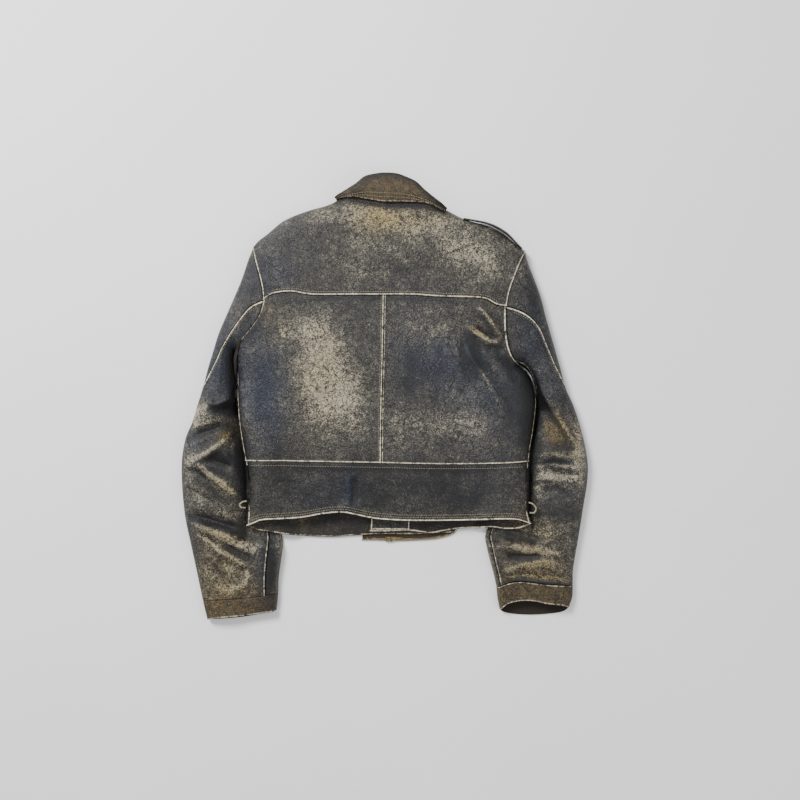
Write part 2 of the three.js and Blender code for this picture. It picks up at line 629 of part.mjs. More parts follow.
// A cuff is two bands, one over the other, sewn at the sleeve's end
function cuff(side, form, name) {
  const rings = [...underRings(side, 1), ...topRings(side, 1)];
  const apart = (share, i, all) => i === 0 || share - all[i - 1] > 1e-3;
  const sorted = (shares) => [0, ...shares, 1].sort((a, b) => a - b).filter(apart);
  const over = sorted([...rings.filter((r) => r > 0), ...rings.filter((r) => r < -1).map((r) => r + 2)]);
  const below0 = sorted(rings.filter((r) => r < 0 && r > -1).map((r) => -r));
  const band = (end, shares, place) => {
    const sides = {
      low: route([side.cuffSeam]),
      high: route([end]),
      left: route([side.outerCuff]),
      right: route([side.innerCuff]),
    };
    return wall(patch(sides, shares, CUFF_ROWS).map((row) => row.map(({ x, y }) => place(x, y))));
  };
  add(`${name}_cuff_upper`, band(side.cuffTop, over, (x, y) => onTop(form, x, y)), CUFF_LEATHER);
  add(`${name}_cuff_lower`, band(side.cuffUnder, below0, (x, y) => below(form, () => 0, x, y)), CUFF_LEATHER);
}

// The way each place of a grid of points faces
function facing(points) {
  const last = points.length - 1;
  return points.map((row, i) =>
    row.map((point, j) => {
      const along = points[Math.min(last, i + 1)][j].clone().sub(points[Math.max(0, i - 1)][j]);
      const across = row[Math.min(row.length - 1, j + 1)].clone().sub(row[Math.max(0, j - 1)]);
      return { point, normal: along.cross(across).normalize() };
    }),
  );
}

// The collar stands up from the neck seam to its fold and its leaf lies back on the yoke
const COLLAR_FOLD = [
  [-87, 325], [-78, 333], [-68, 338], [-48, 351], [-33, 364], [-18, 368], [-3, 370], [18, 369],
  [33, 364], [50, 356], [64, 342], [81, 327], [96, 315], [107, 305],
];
const COLLAR_EDGE = [
  [-87, 325], [-71, 328], [-48, 327], [-26, 323], [-3, 319], [18, 319], [40, 319], [63, 318],
  [78, 315], [92, 309], [107, 305],
];
const COLLAR_FOLD_RADIUS = LEATHER + 1.5;
const COLLAR_TIP = 0.03;
const COLLAR_ROWS = 26;
function collar() {
  const neck = route([NECK_SEAM]);
  const foldLine = route([COLLAR_FOLD]);
  const edge = route([COLLAR_EDGE]);
  const standShares = [0, 0.35, 0.7];
  const foldAngles = [0, 36, 72, 108, 144, 180];
  const leafShares = [0.35, 0.7, 1];
  const points = Array.from({ length: COLLAR_ROWS + 1 }, (_, i) => {
    const share = mix(COLLAR_TIP, 1 - COLLAR_TIP, i / COLLAR_ROWS);
    const n = neck(share);
    const f = foldLine(share);
    const e = edge(share);
    const seam = onTop(BODY, n.x, n.y).point.z;
    const toFold = f.clone().sub(n);
    const length = toFold.length();
    const way = toFold.clone().normalize();
    const radius = COLLAR_FOLD_RADIUS;
    const turnFrom = f.clone().addScaledVector(way, -Math.min(radius, length * 0.6));
    const start = n.clone().addScaledVector(way, SEAM_GAP);
    const low = seam - LEATHER;
    const stand = standShares.map((s) => new THREE.Vector3(mix(start.x, turnFrom.x, s), mix(start.y, turnFrom.y, s), low));
    const bend = foldAngles.map((angle) => {
      const turned = THREE.MathUtils.degToRad(angle);
      const out = turnFrom.clone().addScaledVector(way, Math.sin(turned) * radius);
      return new THREE.Vector3(out.x, out.y, low + radius * (1 - Math.cos(turned)));
    });
    const rest = onTop(BODY, e.x, e.y).point.z + LEATHER + 2 * SEAM_GAP;
    const leaf = leafShares.map((s) => {
      const height = mix(low + 2 * radius, rest, s * s) + 1.2 * Math.sin(Math.PI * s);
      return new THREE.Vector3(mix(turnFrom.x, e.x, s), mix(turnFrom.y, e.y, s), height);
    });
    return [...stand, ...bend, ...leaf];
  });
  return wall(facing(points));
}

// A strip that stands on a turned edge of the body, clear of the leather inside it. It runs along
// part of an edge, and `inside` says on which side of that line the leather lies.
const STRIP_OVER = [3.2, 1.7, 0.8, 0.25];
const STRIP_UNDER = [0, 0.3, 0.8];
function edgeStrip({ line, inside, from, to, ground, stand, rows }) {
  const edge = route([line]);
  const grid = Array.from({ length: rows + 1 }, (_, i) => {
    const share = mix(from, to, i / rows);
    const at = edge(share);
    const way = edge(share + 0.01).sub(edge(share - 0.01)).normalize();
    const away = LEATHER + 0.3 + stand * Math.sin((Math.PI * i) / rows);
    const place = (form, d) => form(at.x - inside * way.y * d, at.y + inside * way.x * d);
    const out = ({ point, normal }) => ({ point: point.clone().addScaledVector(normal, away), normal });
    const over = STRIP_OVER.map((d) => out(place((x, y) => onTop(BODY, x, y), d)));
    const under = STRIP_UNDER.map((d) => out(place((x, y) => below(BODY, ground, x, y), d)));
    return [...over, ...under];
  });
  return wall(grid, THIN_LEATHER);
}
const EPAULETTE = {
  line: RIGHT.shoulder, inside: 1, from: 0.05, to: 0.79, ground: () => 0, stand: 5, rows: 16,
};
const STRAP_LEFT = {
  line: LEFT.sideLow, inside: 1, from: 0.06, to: 0.66, ground: underLeft, stand: 1, rows: 6,
};
const STRAP_RIGHT = {
  line: RIGHT.sideLow, inside: -1, from: 0.1, to: 0.78, ground: underRight, stand: 1, rows: 6,
};

// A flat piece on the floor, from its outline
function flatPiece(points, thickness, base = 0) {
  const shape = new THREE.Shape(points.map(([x, y]) => new THREE.Vector2(x, y)));
  const geometry = new THREE.ExtrudeGeometry(shape, { depth: thickness, bevelEnabled: false });
  geometry.translate(0, 0, base);
  return geometry;
}

// The tape of the front zip, along the hem and up inside the front edge
const TAPE_LINE = [
  [-38, -230], [-16, -230], [8, -231], [33, -231], [58, -230], [86, -228], [108, -222], [117, -208],
  [118, -180], [117, -100], [116, 0], [112, 80],
];
const TAPE_WIDTH = 13;
const TAPE_THICKNESS = 1.8;
function zipTape() {
  const curve = spline(TAPE_LINE);
  const rows = curve.getSpacedPoints(44);
  const sides = [-0.5, 0, 0.5];
  return wall(rows.map((at, i) => {
    const way = curve.getTangentAt(i / 44);
    return sides.map((side) => {
      const point = new THREE.Vector3(at.x - way.y * side * TAPE_WIDTH, at.y + way.x * side * TAPE_WIDTH, TAPE_THICKNESS);
      return { point, normal: new THREE.Vector3(0, 0, 1) };
    });
  }), TAPE_THICKNESS);
}

// The slider sits near the lower end of the zip and its tab lies along the chain
const SLIDER_AT = [7, -236];
function slider() {
  const [x, y] = SLIDER_AT;
  const outline = [
    [x - 7, y - 3], [x - 5, y - 5], [x + 5, y - 5], [x + 7, y - 3], [x + 24, y - 1.5], [x + 25.5, y],
    [x + 24, y + 1.5], [x + 7, y + 3], [x - 7, y + 3],
  ];
  return flatPiece(outline, 2.4, TAPE_THICKNESS + SEAM_GAP);
}

// A facing sewn on the inside of the right front's lower corner, where the hem gapes
const FACING = { left: -22, right: 40, low: -219, high: -150 };
const FACING_SHARES = [0, 0.12, 0.5, 0.88, 1];
function cornerFacing() {
  const up = (x, y) => {
    const { point, normal } = below(BODY, underRight, x, y);
    return { point: point.clone().addScaledVector(normal, -(LEATHER + SEAM_GAP + THIN_LEATHER)), normal: normal.clone().negate() };
  };
  const grid = FACING_SHARES.map((b) =>
    FACING_SHARES.map((a) => up(mix(FACING.left, FACING.right, a), mix(FACING.low, FACING.high, b))),
  );
  return wall(grid, THIN_LEATHER);
}

// The lapels are folded out under the fronts, from the neck down
const LAPEL_LEFT = [
  [-80, 308], [-58, 288], [-30, 262], [4, 228], [12, 214], [0, 196], [-34, 168], [-56, 176], [-74, 206], [-88, 262],
];
const LAPEL_RIGHT = [
  [97, 296], [84, 270], [66, 242], [50, 214], [44, 192], [58, 176], [92, 170], [108, 192], [116, 230], [110, 272],
];

add("back_yoke", yoke(), BODY_LEATHER);
add("back_left", backPanel(LEFT, WAIST_LEFT, YOKE_LEFT, true), BODY_LEATHER);
add("back_right", backPanel(RIGHT, WAIST_RIGHT, YOKE_RIGHT, false), BODY_LEATHER);
add("waistband", waistband(), BODY_LEATHER);
add("front_left", frontPanel(LEFT, FRONT_HEM_LEFT, FRONT_EDGE_LEFT, underLeft, true), BODY_LEATHER);
add("front_right", frontPanel(RIGHT, FRONT_HEM_RIGHT, FRONT_EDGE_RIGHT, underRight, false), BODY_LEATHER);
sleeve(LEFT, -1, LEFT_SLEEVE, "left");
sleeve(RIGHT, 1, RIGHT_SLEEVE, "right");

cuff(LEFT, LEFT_SLEEVE, "left");
cuff(RIGHT, RIGHT_SLEEVE, "right");
add("collar", collar(), COLLAR_LEATHER);
add("left_lapel", flatPiece(LAPEL_LEFT, LEATHER), BODY_LEATHER);
add("right_lapel", flatPiece(LAPEL_RIGHT, LEATHER), BODY_LEATHER);
add("corner_facing", cornerFacing(), BODY_LEATHER);
add("right_epaulette", edgeStrip(EPAULETTE), EDGE_LEATHER);
add("left_side_strap", edgeStrip(STRAP_LEFT), EDGE_LEATHER);
add("right_side_strap", edgeStrip(STRAP_RIGHT), EDGE_LEATHER);
add("zip_tape", zipTape(), TAPE);
add("zip_slider", slider(), BRASS);

// The origin is on the floor, in the middle of the footprint
const extent = new THREE.Box3().setFromObject(jacket);
const middle = extent.getCenter(new THREE.Vector3());
jacket.position.set(-middle.x, -middle.y, -extent.min.z);

export default jacket;
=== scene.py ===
# %% [markdown]
# # A worn leather motorcycle jacket
# The jacket lies face down on a pale floor and is seen from straight above. Each cut piece of leather
# is made again here, finer than its solid, on the same form: a low dome of leather that turns under at
# its sides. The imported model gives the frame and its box.

import bmesh
import bpy
import mathutils
import numpy as np
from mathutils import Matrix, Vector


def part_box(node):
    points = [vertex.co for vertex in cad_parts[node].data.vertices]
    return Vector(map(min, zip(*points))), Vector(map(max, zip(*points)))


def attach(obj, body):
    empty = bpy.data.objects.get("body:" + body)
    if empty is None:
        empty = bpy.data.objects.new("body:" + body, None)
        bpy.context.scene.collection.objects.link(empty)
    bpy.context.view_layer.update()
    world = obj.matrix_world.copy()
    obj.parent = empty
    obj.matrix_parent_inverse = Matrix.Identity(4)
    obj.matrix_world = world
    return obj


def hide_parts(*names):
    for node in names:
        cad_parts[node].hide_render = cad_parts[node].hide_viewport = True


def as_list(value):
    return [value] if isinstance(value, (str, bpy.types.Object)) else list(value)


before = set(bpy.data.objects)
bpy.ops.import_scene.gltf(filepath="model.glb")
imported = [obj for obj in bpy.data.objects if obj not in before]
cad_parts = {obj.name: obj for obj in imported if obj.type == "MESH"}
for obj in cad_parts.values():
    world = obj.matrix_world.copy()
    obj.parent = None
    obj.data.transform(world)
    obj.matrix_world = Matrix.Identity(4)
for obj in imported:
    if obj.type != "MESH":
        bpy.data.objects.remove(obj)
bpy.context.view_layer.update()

# %% [markdown]
# ## Outlines
# A maker would lay the jacket down and trace its seams. These lists are those seams and edges, in
# millimetres on the floor, with +X to the right and +Y towards the collar. A few points and a smooth
# curve through them say as much as a dense trace does, and each point can still be moved by hand.

# %% Seams and edges of the garment
NECK_SEAM = [[-86, 322], [-66, 327], [-41, 330], [8, 332], [58, 327], [84, 318], [102, 310]]
YOKE_LEFT = [[-200, 158], [-191, 165], [-178, 170], [-152, 172], [-119, 167], [-66, 167], [-1, 167]]
YOKE_RIGHT = [[-1, 167], [45, 167], [92, 164], [153, 162], [170, 158], [183, 151], [200, 148]]
CENTRE_SEAM = [[-6, -109], [-5, -21], [-3, 61], [-1, 167]]
WAIST_LEFT = [[-229, -106], [-180, -106], [-125, -107], [-71, -108], [-6, -109]]
WAIST_RIGHT = [[-6, -109], [74, -111], [140, -111], [190, -110], [236, -107]]
BACK_HEM = [
    [-228, -214], [-214, -208], [-198, -203], [-140, -200], [-104, -194], [-71, -191], [-48, -195],
    [-25, -200], [0, -203], [41, -205], [91, -205], [140, -204], [190, -202], [219, -203], [241, -211],
]
FRONT_EDGE_X = 116
UNDERLAP_X = -26
FRONT_HEM_LEFT = [
    [-228, -214], [-214, -220], [-190, -224], [-140, -231], [-91, -233], [-54, -231], [-10, -229],
    [50, -229], [FRONT_EDGE_X, -226],
]
FRONT_HEM_RIGHT = [
    [UNDERLAP_X, -224], [0, -224], [41, -223], [66, -226], [78, -227], [99, -223], [127, -219],
    [157, -218], [177, -216], [198, -219], [223, -218], [241, -211],
]
FRONT_EDGE_LEFT = [[FRONT_EDGE_X, -226], [118, -100], [116, 40], [98, 125], [20, 218], [-86, 322]]
FRONT_EDGE_RIGHT = [[UNDERLAP_X, -224], [-28, -100], [-24, 40], [-8, 130], [48, 222], [102, 310]]
COLLAR_FOLD = [
    [-87, 325], [-78, 331], [-68, 336], [-48, 348], [-33, 360], [-18, 364], [-3, 366], [18, 365],
    [33, 360], [50, 352], [64, 339], [81, 325], [96, 314], [107, 305],
]
COLLAR_EDGE = [
    [-87, 325], [-71, 328], [-48, 327], [-26, 323], [-3, 319], [18, 319], [40, 319], [63, 318],
    [78, 315], [92, 309], [107, 305],
]

# %% The left side, which is the wearer's left as the back is uppermost
LEFT = {
    "outwards": -1,
    "shoulder": [
        [-219, 248], [-210, 259], [-193, 272], [-173, 289], [-152, 300], [-124, 310], [-99, 317],
        [-86, 322],
    ],
    "armhole_high": [[-219, 248], [-213, 223], [-206, 198], [-201, 175], [-200, 158]],
    "armhole_low": [[-200, 158], [-205, 139], [-213, 124], [-226, 107], [-239, 92], [-248, 76]],
    "side_high": [[-248, 76], [-244, 36], [-243, -5], [-239, -46], [-234, -79], [-229, -106]],
    "side_low": [[-229, -106], [-226, -137], [-226, -170], [-226, -195], [-228, -214]],
    "outer": [
        [-219, 248], [-228, 226], [-238, 196], [-251, 165], [-264, 135], [-276, 107], [-285, 78],
        [-294, 48], [-302, 18], [-310, -8], [-320, -41], [-330, -64], [-336, -91], [-338, -114],
        [-337, -153], [-332, -200], [-323, -243], [-315, -280], [-307, -318], [-303, -337],
    ],
    "outer_cuff": [[-303, -337], [-299, -354], [-295, -370]],
    "inner": [
        [-248, 76], [-250, 62], [-248.5, 42], [-247, 18], [-246, -16], [-229, -58], [-210, -107],
        [-191, -162], [-177, -208], [-170, -241], [-173, -269], [-177, -299], [-178, -325],
    ],
    "inner_cuff": [[-178, -325], [-179, -340], [-181, -355]],
    "cuff_seam": [[-303, -337], [-239, -333], [-214, -331], [-178, -325]],
    "cuff_top": [[-295, -370], [-280, -366], [-256, -364], [-223, -361], [-181, -355]],
    "cuff_under": [[-295, -370], [-278, -370], [-250, -368], [-220, -364], [-181, -355]],
    "inner_seam_at_cuff": 0.16,
}

# %% The right side
RIGHT = {
    "outwards": 1,
    "shoulder": [
        [233, 241], [216, 254], [198, 269], [173, 282], [148, 290], [127, 297], [102, 310],
    ],
    "armhole_high": [[233, 241], [222, 219], [213, 196], [205, 173], [200, 148]],
    "armhole_low": [[200, 148], [200, 130], [201, 104], [205, 81], [211, 66], [221, 54]],
    "side_high": [
        [221, 54], [234, 43], [244, 25], [249, 3], [248, -21], [244, -54], [239, -82], [236, -107],
    ],
    "side_low": [[236, -107], [235, -137], [234, -170], [236, -193], [241, -211]],
    "outer": [
        [233, 241], [239, 219], [249, 193], [259, 165], [267, 134], [276, 102], [284, 73], [292, 45],
        [300, 15], [312, -12], [322, -41], [330, -71], [335, -96], [337, -120], [335, -148],
        [330, -178], [325, -210], [320, -241], [315, -269], [312, -292], [312, -312],
    ],
    "outer_cuff": [[312, -312], [311, -332], [305, -350]],
    "inner": [
        [221, 54], [236, 44.5], [246.5, 26], [251.5, 3], [250.5, -20], [247, -48], [236, -87],
        [219, -129], [198, -170], [180, -203], [167, -229], [169, -249], [175, -274], [181, -296],
        [185, -315],
    ],
    "inner_cuff": [[185, -315], [187, -335], [191, -354]],
    "cuff_seam": [[312, -312], [266, -309], [224, -305], [203, -308], [185, -315]],
    "cuff_top": [
        [305, -350], [292, -345], [267, -342], [246, -338], [224, -338], [203, -343], [191, -354],
    ],
    "cuff_under": [[305, -350], [295, -358], [266, -362], [234, -363], [203, -360], [191, -354]],
    "inner_seam_at_cuff": 0.05,
}
print("lines of a side", [name for name, line in RIGHT.items() if isinstance(line, list)])

# %% [markdown]
# ## Curves and distances
# A seam is a smooth curve through its points. Two questions are asked of such curves again and again:
# where is a given share of the way along, and how far is each place of the leather from them. Both are
# answered for whole arrays at once, which keeps a fine mesh quick to make.

# %% Smooth curves through points
def ease(value, low, high):
    t = np.clip((value - low) / (high - low), 0, 1)
    return t * t * (3 - 2 * t)


def mix(a, b, share):
    return a + (b - a) * share


def smooth_curve(points, steps=12):
    p = np.array(points, dtype=float)
    padded = np.vstack([p[0], p, p[-1]])
    t = np.linspace(0, 1, steps, endpoint=False)[:, None]
    pieces = []
    for k in range(len(p) - 1):
        a, b, c, d = padded[k : k + 4]
        slope_b, slope_c = (c - a) / 2, (d - b) / 2
        cubic = (2 * b - 2 * c + slope_b + slope_c) * t**3
        pieces.append(cubic + (-3 * b + 3 * c - 2 * slope_b - slope_c) * t**2 + slope_b * t + b)
    return np.vstack(pieces + [p[-1:]])


def arc_lookup(points):
    line = smooth_curve(points)
    length = np.concatenate([[0], np.cumsum(np.linalg.norm(np.diff(line, axis=0), axis=1))])
    length /= length[-1]
    return lambda share: np.stack([np.interp(share, length, line[:, k]) for k in (0, 1)], axis=-1)


def route(lists, ends=(1,)):
    """A curve made of several, where `ends` are the shares at which each one stops."""
    looks = [arc_lookup(points) for points in lists]

    def at(share):
        share = np.atleast_1d(np.asarray(share, dtype=float))
        out = np.zeros(share.shape + (2,))
        start = 0
        for look, end in zip(looks, ends):
            inside = (share >= start - 1e-9) & (share <= end + 1e-9)
            out[inside] = look(np.clip((share[inside] - start) / (end - start), 0, 1))
            start = end
        return out

    return at


def back(points):
    return list(reversed(points))


neck_steps = np.diff(smooth_curve(NECK_SEAM), axis=0)
print("neck seam", round(float(np.linalg.norm(neck_steps, axis=1).sum())), "mm")

# %% Distance to curves
def segments(curves):
    starts, ends = [], []
    for curve in curves:
        line = smooth_curve(curve, 5)
        starts.append(line[:-1])
        ends.append(line[1:])
    return np.vstack(starts), np.vstack(ends)


def distance_to(pair, x, y):
    start, end = pair
    way = end - start
    square = (way**2).sum(1)
    flat = np.stack([np.ravel(x), np.ravel(y)], axis=1)
    best = np.empty(len(flat))
    for k in range(0, len(flat), 4000):
        offset = flat[k : k + 4000, None, :] - start
        along = np.clip((offset * way).sum(2) / square, 0, 1)
        best[k : k + 4000] = np.linalg.norm(offset - along[..., None] * way, axis=2).min(1)
    return best.reshape(np.shape(x))


def edge_x(curves, y):
    line = np.vstack([smooth_curve(c, 5) for c in curves])
    order = np.argsort(line[:, 1])
    return np.interp(y, line[order, 1], line[order, 0])


for side in (LEFT, RIGHT):
    side["edges"] = {
        "shoulder": [side["shoulder"]],
        "outer": [side["outer"], side["outer_cuff"]],
        "inner": [side["inner"], side["inner_cuff"]],
        "side": [side["side_high"], side["side_low"]],
    }
print("edges of a side", list(LEFT["edges"]))

# %% [markdown]
# ## Creases
# Worn leather folds where the body bent it: at the armholes, the elbows and above the cuffs. A simulated
# fall would put creases anywhere, so each one is given as a soft ridge, a trough, or a ledge
# where one layer overhangs the next, and it fades out at both ends.

# %% Ridges, troughs and ledges
def along_line(points, x, y):
    """For each place: the distance to the line, the share along it, and whether it lies to the left."""
    line = smooth_curve(points, 6)
    start, way = line[:-1], np.diff(line, axis=0)
    offset = np.stack([x, y], axis=1)[:, None, :] - start
    share = np.clip((offset * way).sum(2) / (way**2).sum(1), 0, 1)
    gap = np.linalg.norm(offset - share[..., None] * way, axis=2)
    nearest = gap.argmin(1)
    each = np.arange(len(x))
    aside = way[nearest, 0] * offset[each, nearest, 1] - way[nearest, 1] * offset[each, nearest, 0]
    return gap.min(1), (nearest + share[each, nearest]) / len(way), aside > 0


def near_line(points, reach, shape_at):
    """A height that is worked out only in a box `reach` wider than the line, and is nought outside."""
    low, high = np.min(points, axis=0) - reach, np.max(points, axis=0) + reach

    def height(x, y):
        out = np.zeros(np.shape(x))
        inside = (x > low[0]) & (x < high[0]) & (y > low[1]) & (y < high[1])
        if inside.any():
            out[inside] = shape_at(*along_line(points, x[inside], y[inside]))
        return out

    return height


FOLD_FADE = 0.3
HEIGHT_AT_ENDS = 0.15
FOLD_REACH = 3.2
LEDGE_FADE = 0.25
LEDGE_REACH = 5


def fold(points, rise, width):
    """A soft ridge along the line, or a trough where the rise is negative."""

    def shape_at(gap, share, _):
        ends = ease(np.minimum(share, 1 - share), 0, FOLD_FADE) * (1 - HEIGHT_AT_ENDS) + HEIGHT_AT_ENDS
        return rise * ends * np.exp(-((gap / width) ** 2))

    return near_line(points, FOLD_REACH * width, shape_at)


def ledge(points, rise, reach=30, drop=8):
    """A layer that ends at the line: it slopes away to the left and drops off to the right."""

    def shape_at(gap, share, is_left):
        ends = ease(np.minimum(share, 1 - share), 0, LEDGE_FADE)
        return rise * ends * np.where(is_left, np.exp(-gap / reach), np.exp(-((gap / drop) ** 2)))

    return near_line(points, LEDGE_REACH * reach, shape_at)


def total(folds):
    return lambda x, y: sum(each(x, y) for each in folds)


def height_at(surface, x, y):
    """One rounded height, to print."""
    return round(float(surface(np.array([float(x)]), np.array([float(y)]))[0]), 1)


# %% Creases of the back
BACK_FOLDS = total([
    fold([[150, 150], [168, 131], [185, 107], [193, 93]], 3.5, 9),
    fold([[134, 118], [153, 103], [172, 91], [190, 86]], 3.5, 8),
    fold([[147, 120], [170, 101], [186, 96]], -2.5, 6),
    fold([[167, 86], [182, 82], [195, 74]], -3, 7),
    fold([[127, 101], [138, 70], [153, 48], [172, 19], [193, -22], [214, -54]], 3, 10),
    fold([[125, 97], [127, 71], [136, 36], [153, 7]], -2.5, 9),
    fold([[185, 69], [208, 40], [223, 20]], -2.5, 9),
    fold([[-52, -128], [-49, -155], [-50, -186]], -3, 9),
    fold([[-80, -186], [-60, -180], [-40, -186]], 3, 14),
    fold([[-150, 120], [-120, 60], [-130, 0]], 1.6, 26),
    fold([[60, 40], [70, -30], [110, -80]], 1.6, 24),
    fold([[-60, 250], [0, 240], [70, 250]], 1.8, 26),
])
FINE_BACK = total([
    fold([[153, 151], [168, 132], [185, 107], [193, 94]], 1.3, 3),
    fold([[134, 117], [153, 102], [172, 91], [191, 86]], 1.3, 3),
    fold([[148, 118], [166, 104], [186, 95]], -1.2, 2.5),
    fold([[127, 101], [138, 70], [153, 48], [172, 19], [193, -22]], 1.1, 3.5),
    fold([[126, 97], [128, 72], [137, 36]], -0.9, 3),
    fold([[153, 254], [127, 244], [99, 233]], -0.9, 2.5),
    fold([[-176, 130], [-168, 100], [-172, 60]], 0.8, 5),
    fold([[-90, -118], [-88, -150], [-92, -180]], -0.8, 4),
    fold([[-180, -137], [-150, -140], [-124, -137]], -0.7, 3),
    fold([[96, -118], [98, -150], [94, -190]], -0.8, 4),
    fold([[-54, -124], [-52, -150], [-54, -184]], -1.2, 3),
    fold([[-44, -126], [-42, -155], [-43, -188]], 0.9, 3),
])
print("crease at the right armhole", height_at(BACK_FOLDS, 168, 131), "mm")

# %% Creases of the sleeves
RIGHT_LEDGE = back([[229, 66], [243, 40], [256, 8], [270, -14], [286, -38], [302, -64], [316, -82]])
LEFT_FOLDS = total([
    ledge([[-244, 0], [-258, -6], [-278, -13], [-295, -6]], 7),
    fold([[-295, -5], [-306, -30], [-318, -58]], 3.5, 9),
    fold([[-324, -67], [-298, -55], [-270, -45], [-252, -38]], -5, 8),
    fold([[-313, -104], [-290, -90], [-268, -76]], 5, 8),
    fold([[-313, -104], [-284, -130], [-256, -150], [-238, -165]], 5, 8),
    fold([[-294, -97], [-270, -108], [-250, -118]], -4, 9),
    fold([[-331, -118], [-310, -122], [-292, -138]], -4, 7),
    fold([[-326, -204], [-292, -217], [-262, -231], [-216, -251]], 5.5, 8),
    fold([[-318, -192], [-276, -204], [-232, -219]], -4.5, 8),
    fold([[-286, -244], [-256, -262], [-226, -280]], 4, 8),
    fold([[-270, -240], [-240, -256], [-212, -268]], -3, 6),
    fold([[-234, -286], [-226, -298], [-238, -311], [-256, -319]], 2.5, 8),
])
FINE_LEFT = total([
    fold([[-244, 1], [-258, -5], [-278, -12], [-296, -6]], 1.4, 3),
    fold([[-313, -104], [-290, -90], [-268, -76]], 1.6, 3),
    fold([[-313, -104], [-284, -130], [-256, -150], [-238, -166]], 1.6, 3),
    fold([[-300, -100], [-275, -108], [-252, -116]], -1.8, 3),
    fold([[-326, -204], [-292, -217], [-262, -231], [-216, -251]], 2.0, 3),
    fold([[-318, -195], [-280, -206], [-236, -220]], -2.0, 3),
    fold([[-286, -244], [-256, -262], [-226, -280]], 1.6, 3),
    fold([[-324, -70], [-298, -60], [-270, -50], [-250, -44]], -2.0, 3.5),
    fold([[-246, -60], [-256, -84], [-250, -110]], -1.6, 4),
    fold([[-234, -286], [-226, -298], [-238, -311], [-256, -319]], 1.6, 3),
    fold([[-300, -262], [-284, -276], [-270, -296]], -1, 4),
    fold([[-324, -150], [-300, -160], [-276, -180]], -1.2, 4),
])
RIGHT_FOLDS = total([
    ledge(RIGHT_LEDGE, 7),
    fold([[318, -86], [326, -102], [318, -118]], 3, 9),
    fold([[238, -98], [266, -92], [300, -96], [326, -88]], 3, 9),
    fold([[240, -124], [268, -118], [300, -124], [326, -122]], -3, 8),
    fold([[236, -142], [262, -134], [296, -136]], 3.5, 8),
    fold([[180, -232], [206, -240], [240, -250], [276, -256], [300, -262]], 4.5, 10),
    fold([[196, -214], [226, -226], [262, -236]], -3, 9),
    fold([[190, -290], [222, -278], [258, -270], [290, -276]], 3.5, 9),
    fold([[196, -262], [228, -262], [262, -258]], -3, 8),
    fold([[188, -302], [226, -297], [268, -298], [304, -302]], -2.5, 7),
])
FINE_RIGHT = total([
    fold(RIGHT_LEDGE, 1.6, 3),
    fold([[240, -100], [268, -94], [300, -98]], 1.3, 3),
    fold([[246, -112], [276, -106], [304, -110]], -1.2, 3),
    fold([[236, -142], [262, -134], [296, -136]], 1.3, 3),
    fold([[182, -234], [206, -241], [240, -251], [276, -257]], 1.5, 3.5),
    fold([[200, -212], [226, -225], [262, -235]], -1.3, 3.5),
    fold([[190, -290], [222, -278], [258, -270], [290, -276]], 1.4, 3),
    fold([[198, -262], [228, -264], [262, -259]], -1.2, 3),
    fold([[232, 120], [252, 92], [268, 62], [282, 36]], 0.9, 4),
    fold([[226, -190], [256, -196], [290, -192]], -1, 4),
])
print("fold at the left elbow", height_at(LEFT_FOLDS, -290, -90), "mm")
print("fold at the right elbow", height_at(RIGHT_FOLDS, 266, -92), "mm")

# %% [markdown]
# ## The form of the garment
# Seen from above, the height of the leather is a flat crest that rolls down to its edges on a quarter of
# an ellipse. One function gives that height for the body and one for each sleeve. The body's lower
# corners lie on the sleeves, so the body is lifted there and the sleeves are pressed flat.

# %% Heights of the body
EDGE_HEIGHT = 8
PRESSED_EDGE = 4
TOP_ROLL = 32
UNDER_ROLL = 12
PRESSED_ROLL = 8
BACK_CREST = 23
HEM_CREST = 15
CUFF_CREST = 13
SLEEVE_UNDER_BODY = 8.5
BODY_ON_SLEEVE = 11.5
PRESS_SLOPE = 0.7
LIFT_RAMP = 45
SOFT = 2
HALF_BLEND = 22
UNDERARM = (-30, 25)
LIFT_START = (-12, 1)
LIFT_INSET = 5
HOLD_START = (-14, -2)
HEM_TO_BACK = (-230, -60)
CUFF_TO_ARM = (-380, 40)
FREE_HEADROOM = 45
FOREARM_HEADROOM = 30
FOREARM = (230, 268)
UNDER_SIDE_EDGE = 3


def underarm_fade(y):
    return ease(-y, *UNDERARM)


def under_body(side, y):
    """How far a sleeve reaches in under the body; negative where it lies clear of it."""
    return side["outwards"] * (edge_x(side["edges"]["side"], y) - edge_x(side["edges"]["inner"], y))


def body_lift(x, y):
    lift = np.zeros(np.shape(x))
    for side in (LEFT, RIGHT):
        reach = under_body(side, y)
        inside = side["outwards"] * (edge_x(side["edges"]["side"], y) - x)
        here = BODY_ON_SLEEVE * ease(reach, *LIFT_START) * underarm_fade(y)
        ramp = reach + LIFT_INSET
        own = here * (1 - ease(inside, ramp, ramp + LIFT_RAMP))
        lift = np.where((x < 0) == (side["outwards"] < 0), own, lift)
    return lift


def turned(distance, radius):
    level = np.maximum(0, 1 - distance / radius)
    return np.sqrt(1 - level * level)


BODY_EDGES = segments(
    [c for side in (LEFT, RIGHT) for name in ("shoulder", "outer", "side") for c in side["edges"][name]]
)


def body_top(x, y):
    crest = mix(HEM_CREST, BACK_CREST, ease(y, *HEM_TO_BACK)) - body_lift(x, y) / 2 + BACK_FOLDS(x, y)
    return EDGE_HEIGHT + body_lift(x, y) + crest * turned(distance_to(BODY_EDGES, x, y), TOP_ROLL)


def body_under(ground):
    def height(x, y):
        edge = EDGE_HEIGHT + body_lift(x, y)
        share = turned(distance_to(BODY_EDGES, x, y), UNDER_ROLL)
        return mix(edge, ground(x, y), share)

    return height


print("height at the middle of the back", height_at(body_top, 0, 50), "mm")

